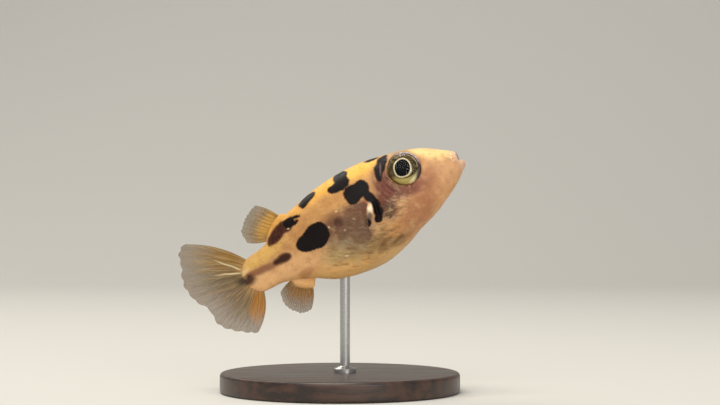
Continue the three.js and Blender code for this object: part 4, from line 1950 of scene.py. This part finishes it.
@dataclass
class PectoralFin(RayFin):
    """A fan drawn flat against the flank and swung out on its base like a door."""

    side: Side = Side.RIGHT
    hinge: tuple[float, float, float] = (13.2, 3.5, -0.75)
    spread: float = math.radians(28.0)

    def placed(self, flat: np.ndarray) -> np.ndarray:
        """Swings the flat fin out from the flank about the line of its base.

        Args:
            flat: Points of the flat fin.

        Returns:
            The same points in place on the fish.
        """
        top, bottom = np.array(self.guides[0].root), np.array(self.guides[-1].root)
        line = unit(np.array([top[0] - bottom[0], 0.0, top[1] - bottom[1]]))
        pivot = np.array([self.hinge[0], 0.0, self.hinge[2]])
        offset = flat - pivot
        c, s = math.cos(-self.spread), math.sin(-self.spread)
        along = (offset @ line)[:, None] * line
        swung = offset * c + np.cross(line, offset) * s + along * (1.0 - c) + pivot
        swung[:, 1] = self.side.value * (swung[:, 1] + self.hinge[1])
        return swung


@dataclass(frozen=True)
class Fins:
    """All five fins, with the colours of each."""

    tail: tuple[Guide, ...] = (
        Guide((0.35, 1.6), (-4.57, 6.18), 0.5), Guide((-0.1, 1.35), (-5.5, 5.55), 0.35),
        Guide((-0.35, 1.05), (-6.05, 4.2), 0.2), Guide((-0.5, 0.65), (-6.6, 2.6), 0.1),
        Guide((-0.55, 0.2), (-6.5, 0.95), 0.0), Guide((-0.55, -0.3), (-5.65, -0.7), 0.0),
        Guide((-0.5, -0.75), (-5.5, -2.55), -0.1), Guide((-0.35, -1.15), (-4.55, -3.8), -0.2),
        Guide((-0.1, -1.5), (-3.3, -4.75), -0.3), Guide((0.35, -1.8), (-2.35, -5.28), -0.45),
    )
    dorsal: tuple[Guide, ...] = (
        Guide((5.35, 3.75), (3.72, 6.02), 0.2), Guide((4.85, 3.4), (3.0, 5.85), 0.1),
        Guide((4.4, 3.1), (2.3, 5.45), 0.0), Guide((3.95, 2.8), (1.65, 4.98), -0.05),
        Guide((3.55, 2.5), (1.16, 4.25), -0.1), Guide((3.2, 2.25), (1.14, 3.15), -0.15),
    )
    anal: tuple[Guide, ...] = (
        Guide((4.95, -3.5), (3.55, -5.82), -0.2), Guide((4.55, -3.2), (2.85, -5.86), -0.1),
        Guide((4.2, -2.95), (2.2, -5.5), 0.0), Guide((3.9, -2.7), (1.72, -4.85), 0.05),
        Guide((3.6, -2.45), (1.4, -4.0), 0.1), Guide((3.35, -2.25), (1.62, -2.85), 0.1),
    )
    pectoral: tuple[Guide, ...] = (
        Guide((13.75, 0.5), (10.45, 1.75), 0.25), Guide((13.5, 0.1), (9.7, 0.95), 0.12),
        Guide((13.25, -0.45), (9.3, -0.1), 0.0), Guide((13.0, -1.0), (9.35, -1.25), -0.08),
        Guide((12.8, -1.5), (9.85, -2.35), -0.12), Guide((12.65, -1.95), (10.75, -3.15), -0.2),
    )
    tail_paint: FinPaint = FinPaint(
        "tail_fin", 0x84693E, 0x7F694C, 0xBCA67E, (0.95, 0.45),
        (
            Tint(0xC59A5C, Lobe((0.0, 0.0, 0.0), (1.3, 3.0, 2.4)), 0.9, 0.4),
            Tint(0x96702A, Lobe((-2.4, 0.0, 3.7), (2.8, 3.0, 1.35), -38), 0.95),
            Tint(0x6E5C38, Lobe((-2.7, 0.0, 0.9), (2.0, 3.0, 0.5), -14), 0.8),
            Tint(0xF0DCAC, Lobe((-1.5, 0.0, 1.95), (1.5, 3.0, 0.07), -50), 0.9, 0.6),
            Tint(0xF0DCAC, Lobe((-1.75, 0.0, 1.2), (1.5, 3.0, 0.07), -27), 0.9, 0.6),
            Tint(0x806850, Lobe((-3.8, 0.0, -1.2), (2.6, 3.0, 2.2), 10), 0.6),
            Tint(0x2A1A15, Lobe((-0.85, 0.0, -0.2), (0.95, 3.0, 0.42), -20), 0.95),
            Tint(0xB47618, Lobe((-1.1, 0.0, -3.2), (1.6, 3.0, 0.78), 61), 1.0, 0.35),
        ), 0.75, 0.35)
    dorsal_paint: FinPaint = FinPaint(
        "dorsal_fin", 0x94702E, 0x7A684A, 0xC0A66E, (0.95, 0.42),
        (
            Tint(0xBE9864, Lobe((4.35, 0.0, 3.1), (1.6, 3.0, 0.32), 32), 0.95, 0.35),
            Tint(0xCC9630, Lobe((3.7, 0.0, 3.75), (1.4, 3.0, 0.66), 28), 0.95, 0.5),
        ), 0.75, 0.5)
    anal_paint: FinPaint = FinPaint(
        "anal_fin", 0x805A22, 0x755E3C, 0xAE8C58, (0.95, 0.42),
        (
            Tint(0xB08A58, Lobe((4.1, 0.0, -3.05), (1.3, 3.0, 0.35), -42), 0.95, 0.35),
            Tint(0xE0C08A, Lobe((3.95, 0.0, -3.5), (1.0, 3.0, 0.12), -40), 0.9, 0.5),
            Tint(0x96641F, Lobe((3.5, 0.0, -4.1), (1.3, 3.0, 0.6), -40), 0.9, 0.5),
        ), 0.7, 0.3)
    pectoral_paint: FinPaint = FinPaint(
        "pectoral_fin", 0x80604C, 0x8C7664, 0x94765F, (0.34, 0.08),
        (Tint(0x7A352C, Lobe((13.1, 3.6, 0.3), (0.8, 3.0, 0.3), 54), 0.9),), 0.16, 0.0)

    def dress(self) -> None:
        """Makes all the fins."""
        RayFin("tail_fin", self.tail, 13, 3, self.tail_paint, 0.09, 0.06, 0.12, 0.05,
               film_rows=64, steps=170).dress()
        RayFin("dorsal_fin", self.dorsal, 10, 5, self.dorsal_paint, 0.07, 0.05).dress()
        RayFin("anal_fin", self.anal, 10, 7, self.anal_paint, 0.07, 0.04).dress()
        for side in Side:
            node = f"pectoral_fin_{side.name.lower()}"
            PectoralFin(node, self.pectoral, 14, 11, self.pectoral_paint, 0.05, 0.03, 0.1, 0.03,
                        side=side).dress()


# ---- The stand ----------------------------------------------------------------------------------

@dataclass
class Stand:
    """The turned wooden base and the steel rod with its collar."""

    bevel: float = 0.35
    sides: int = 192
    rod_radius: float = 0.5
    collar_height: float = 0.6
    collar_slope: float = 0.2
    collar_bevel: float = 0.06
    fillet_steps: int = 8

    def turned(self, name: str, profile: list[tuple[float, float]], centre_x: float) -> bpy.types.Object:
        """A solid turned about an upright axis.

        Args:
            name: The piece's name.
            profile: Radius and height, in metres, from the bottom to the top.
            centre_x: Where the axis stands.

        Returns:
            The object.
        """
        turn = np.linspace(0.0, 2.0 * math.pi, self.sides, endpoint=False)
        points = [(centre_x + r * math.cos(a), r * math.sin(a), z) for r, z in profile for a in turn]
        mesh = bpy.data.meshes.new(name)
        faces = grid_faces(len(profile), self.sides, closed=True)
        faces.append(tuple(reversed(range(self.sides))))
        faces.append(tuple(range((len(profile) - 1) * self.sides, len(profile) * self.sides)))
        mesh.from_pydata(points, [], faces)
        mesh.shade_smooth()
        mesh.set_sharp_from_angle(angle=math.radians(30.0))
        piece = bpy.data.objects.new(name, mesh)
        bpy.context.scene.collection.objects.link(piece)
        return piece

    def rounded(self, radius: float, low: float, high: float) -> list[tuple[float, float]]:
        """A disc's profile with its upper and lower edges rounded.

        Args:
            radius: The disc's radius, in metres.
            low: The height of its underside.
            high: The height of its top.

        Returns:
            Radius and height, from the bottom to the top.
        """
        edge = self.bevel * MM
        quarter = [0.5 * math.pi * step / self.fillet_steps for step in range(self.fillet_steps + 1)]
        below = [(radius - edge + edge * math.sin(a), low + edge - edge * math.cos(a)) for a in quarter]
        above = [(radius - edge + edge * math.cos(a), high - edge + edge * math.sin(a)) for a in quarter]
        return below + above

    def dress(self) -> None:
        """Makes the base and the rod, sized by the solids that they stand for."""
        low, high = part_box("stand_base")
        base = self.turned("stand_disc", self.rounded(high.x, low.z, high.z), 0.0)
        base.data.materials.append(WoodFinish().dress())
        hand_over(base, ("stand_base",))
        rod_low, rod_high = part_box("stand_rod")
        axis, collar = 0.5 * (rod_low.x + rod_high.x), 0.5 * (rod_high.x - rod_low.x)
        shaft, foot = self.rod_radius * MM, rod_low.z + self.collar_height * MM
        bevel, shoulder = self.collar_bevel * MM, foot - self.collar_slope * MM
        profile = [(collar, rod_low.z), (collar, shoulder - bevel), (collar - bevel, shoulder)]
        profile += [(shaft + bevel, foot - 0.02 * MM), (shaft, foot + 0.05 * MM), (shaft, rod_high.z)]
        rod = self.turned("stand_post", profile, axis)
        rod.data.materials.append(SteelFinish().dress())
        hand_over(rod, ("stand_rod",))


# ---- The studio ---------------------------------------------------------------------------------

@dataclass(frozen=True)
class Lamp:
    """A soft square lamp: its place and the length of its sides in metres, its watts and colour."""

    name: str
    place: tuple[float, float, float]
    size: float
    power: float
    tone: tuple[float, float, float] = (1.0, 0.96, 0.88)


@dataclass
class Studio:
    """A pale swept floor, soft lights and the camera, square on to the fish's right side.

    The camera is set in millimetres, as the fish is, and the floor in metres.
    """

    aim: tuple[float, float] = (2.0, 18.95)
    distance: float = 200.0
    lens: float = 100.0
    sensor: float = 36.0
    floor_half: float = 1.5
    floor_near: float = -0.6
    sweep_start: float = 0.25
    sweep_radius: float = 0.2
    sweep_steps: int = 24
    wall_top: float = 1.2
    air: tuple[float, float, float, float] = (0.93, 0.95, 1.0, 1.0)
    air_strength: float = 0.42
    lamps: tuple[Lamp, ...] = (
        Lamp("key_above", (-0.03, -0.02, 0.3), 0.14, 0.52),
        Lamp("fill_front", (-0.1, -0.45, 0.36), 0.4, 1.0, (1.0, 0.98, 0.95)),
        Lamp("fill_low", (0.16, -0.36, 0.12), 0.2, 0.4, (1.0, 0.96, 0.9)),
        Lamp("rim_back", (-0.16, 0.2, 0.26), 0.16, 0.3),
    )

    def floor(self) -> None:
        """A floor that sweeps up into a backdrop."""
        start, radius = self.sweep_start, self.sweep_radius
        profile = [(self.floor_near, 0.0), (start, 0.0)]
        profile += [(start + radius * math.sin(a), radius - radius * math.cos(a))
                    for a in np.linspace(0.0, 0.5 * math.pi, self.sweep_steps)[1:]]
        profile.append((start + radius, self.wall_top))
        points = [(x, y, z) for y, z in profile for x in (-self.floor_half, self.floor_half)]
        faces = [(2 * i, 2 * i + 1, 2 * i + 3, 2 * i + 2) for i in range(len(profile) - 1)]
        mesh = bpy.data.meshes.new("studio_floor")
        mesh.from_pydata(points, [], faces)
        mesh.shade_smooth()
        mesh.materials.append(PlainFinish("pale_paper", 0xD5D2CA, 0.9).dress())
        sweep = bpy.data.objects.new("studio_floor", mesh)
        bpy.context.scene.collection.objects.link(sweep)

    def hang(self, lamp: Lamp) -> None:
        """Hangs a lamp and turns it to the fish.

        Args:
            lamp: The lamp.
        """
        light = bpy.data.lights.new(lamp.name, "AREA")
        light.energy, light.size, light.color = lamp.power, lamp.size, lamp.tone
        holder = bpy.data.objects.new(lamp.name, light)
        holder.location = lamp.place
        target = Vector((self.aim[0] * MM, 0.0, self.aim[1] * MM))
        holder.rotation_euler = (target - Vector(lamp.place)).to_track_quat("-Z", "Y").to_euler()
        bpy.context.scene.collection.objects.link(holder)

    def camera(self) -> None:
        """The camera, level with the middle of the view."""
        lens = bpy.data.cameras.new("view")
        lens.lens, lens.sensor_width = self.lens, self.sensor
        lens.clip_start, lens.clip_end = 0.01, 20.0
        holder = bpy.data.objects.new("view", lens)
        holder.location = (self.aim[0] * MM, -self.distance * MM, self.aim[1] * MM)
        holder.rotation_euler = (math.radians(90.0), 0.0, 0.0)
        bpy.context.scene.collection.objects.link(holder)
        bpy.context.scene.camera = holder

    def dress(self) -> None:
        """Sets up the whole studio."""
        self.floor()
        self.camera()
        for lamp in self.lamps:
            self.hang(lamp)
        world = bpy.data.worlds.new("soft_room")
        world.use_nodes = True
        background = world.node_tree.nodes["Background"]
        background.inputs["Color"].default_value = self.air
        background.inputs["Strength"].default_value = self.air_strength
        bpy.context.scene.world = world
        bpy.context.scene.view_settings.view_transform = "Standard"


def main() -> None:
    """Builds the studio, then the fish from skin to fins, then the stand."""
    logging.basicConfig(level=logging.INFO, format="%(name)s: %(message)s")
    Studio().dress()
    Skin().dress()
    for side in Side:
        Eye(EyePlace(side)).dress()
    Fins().dress()
    Stand().dress()


if __name__ == "__main__":
    main()
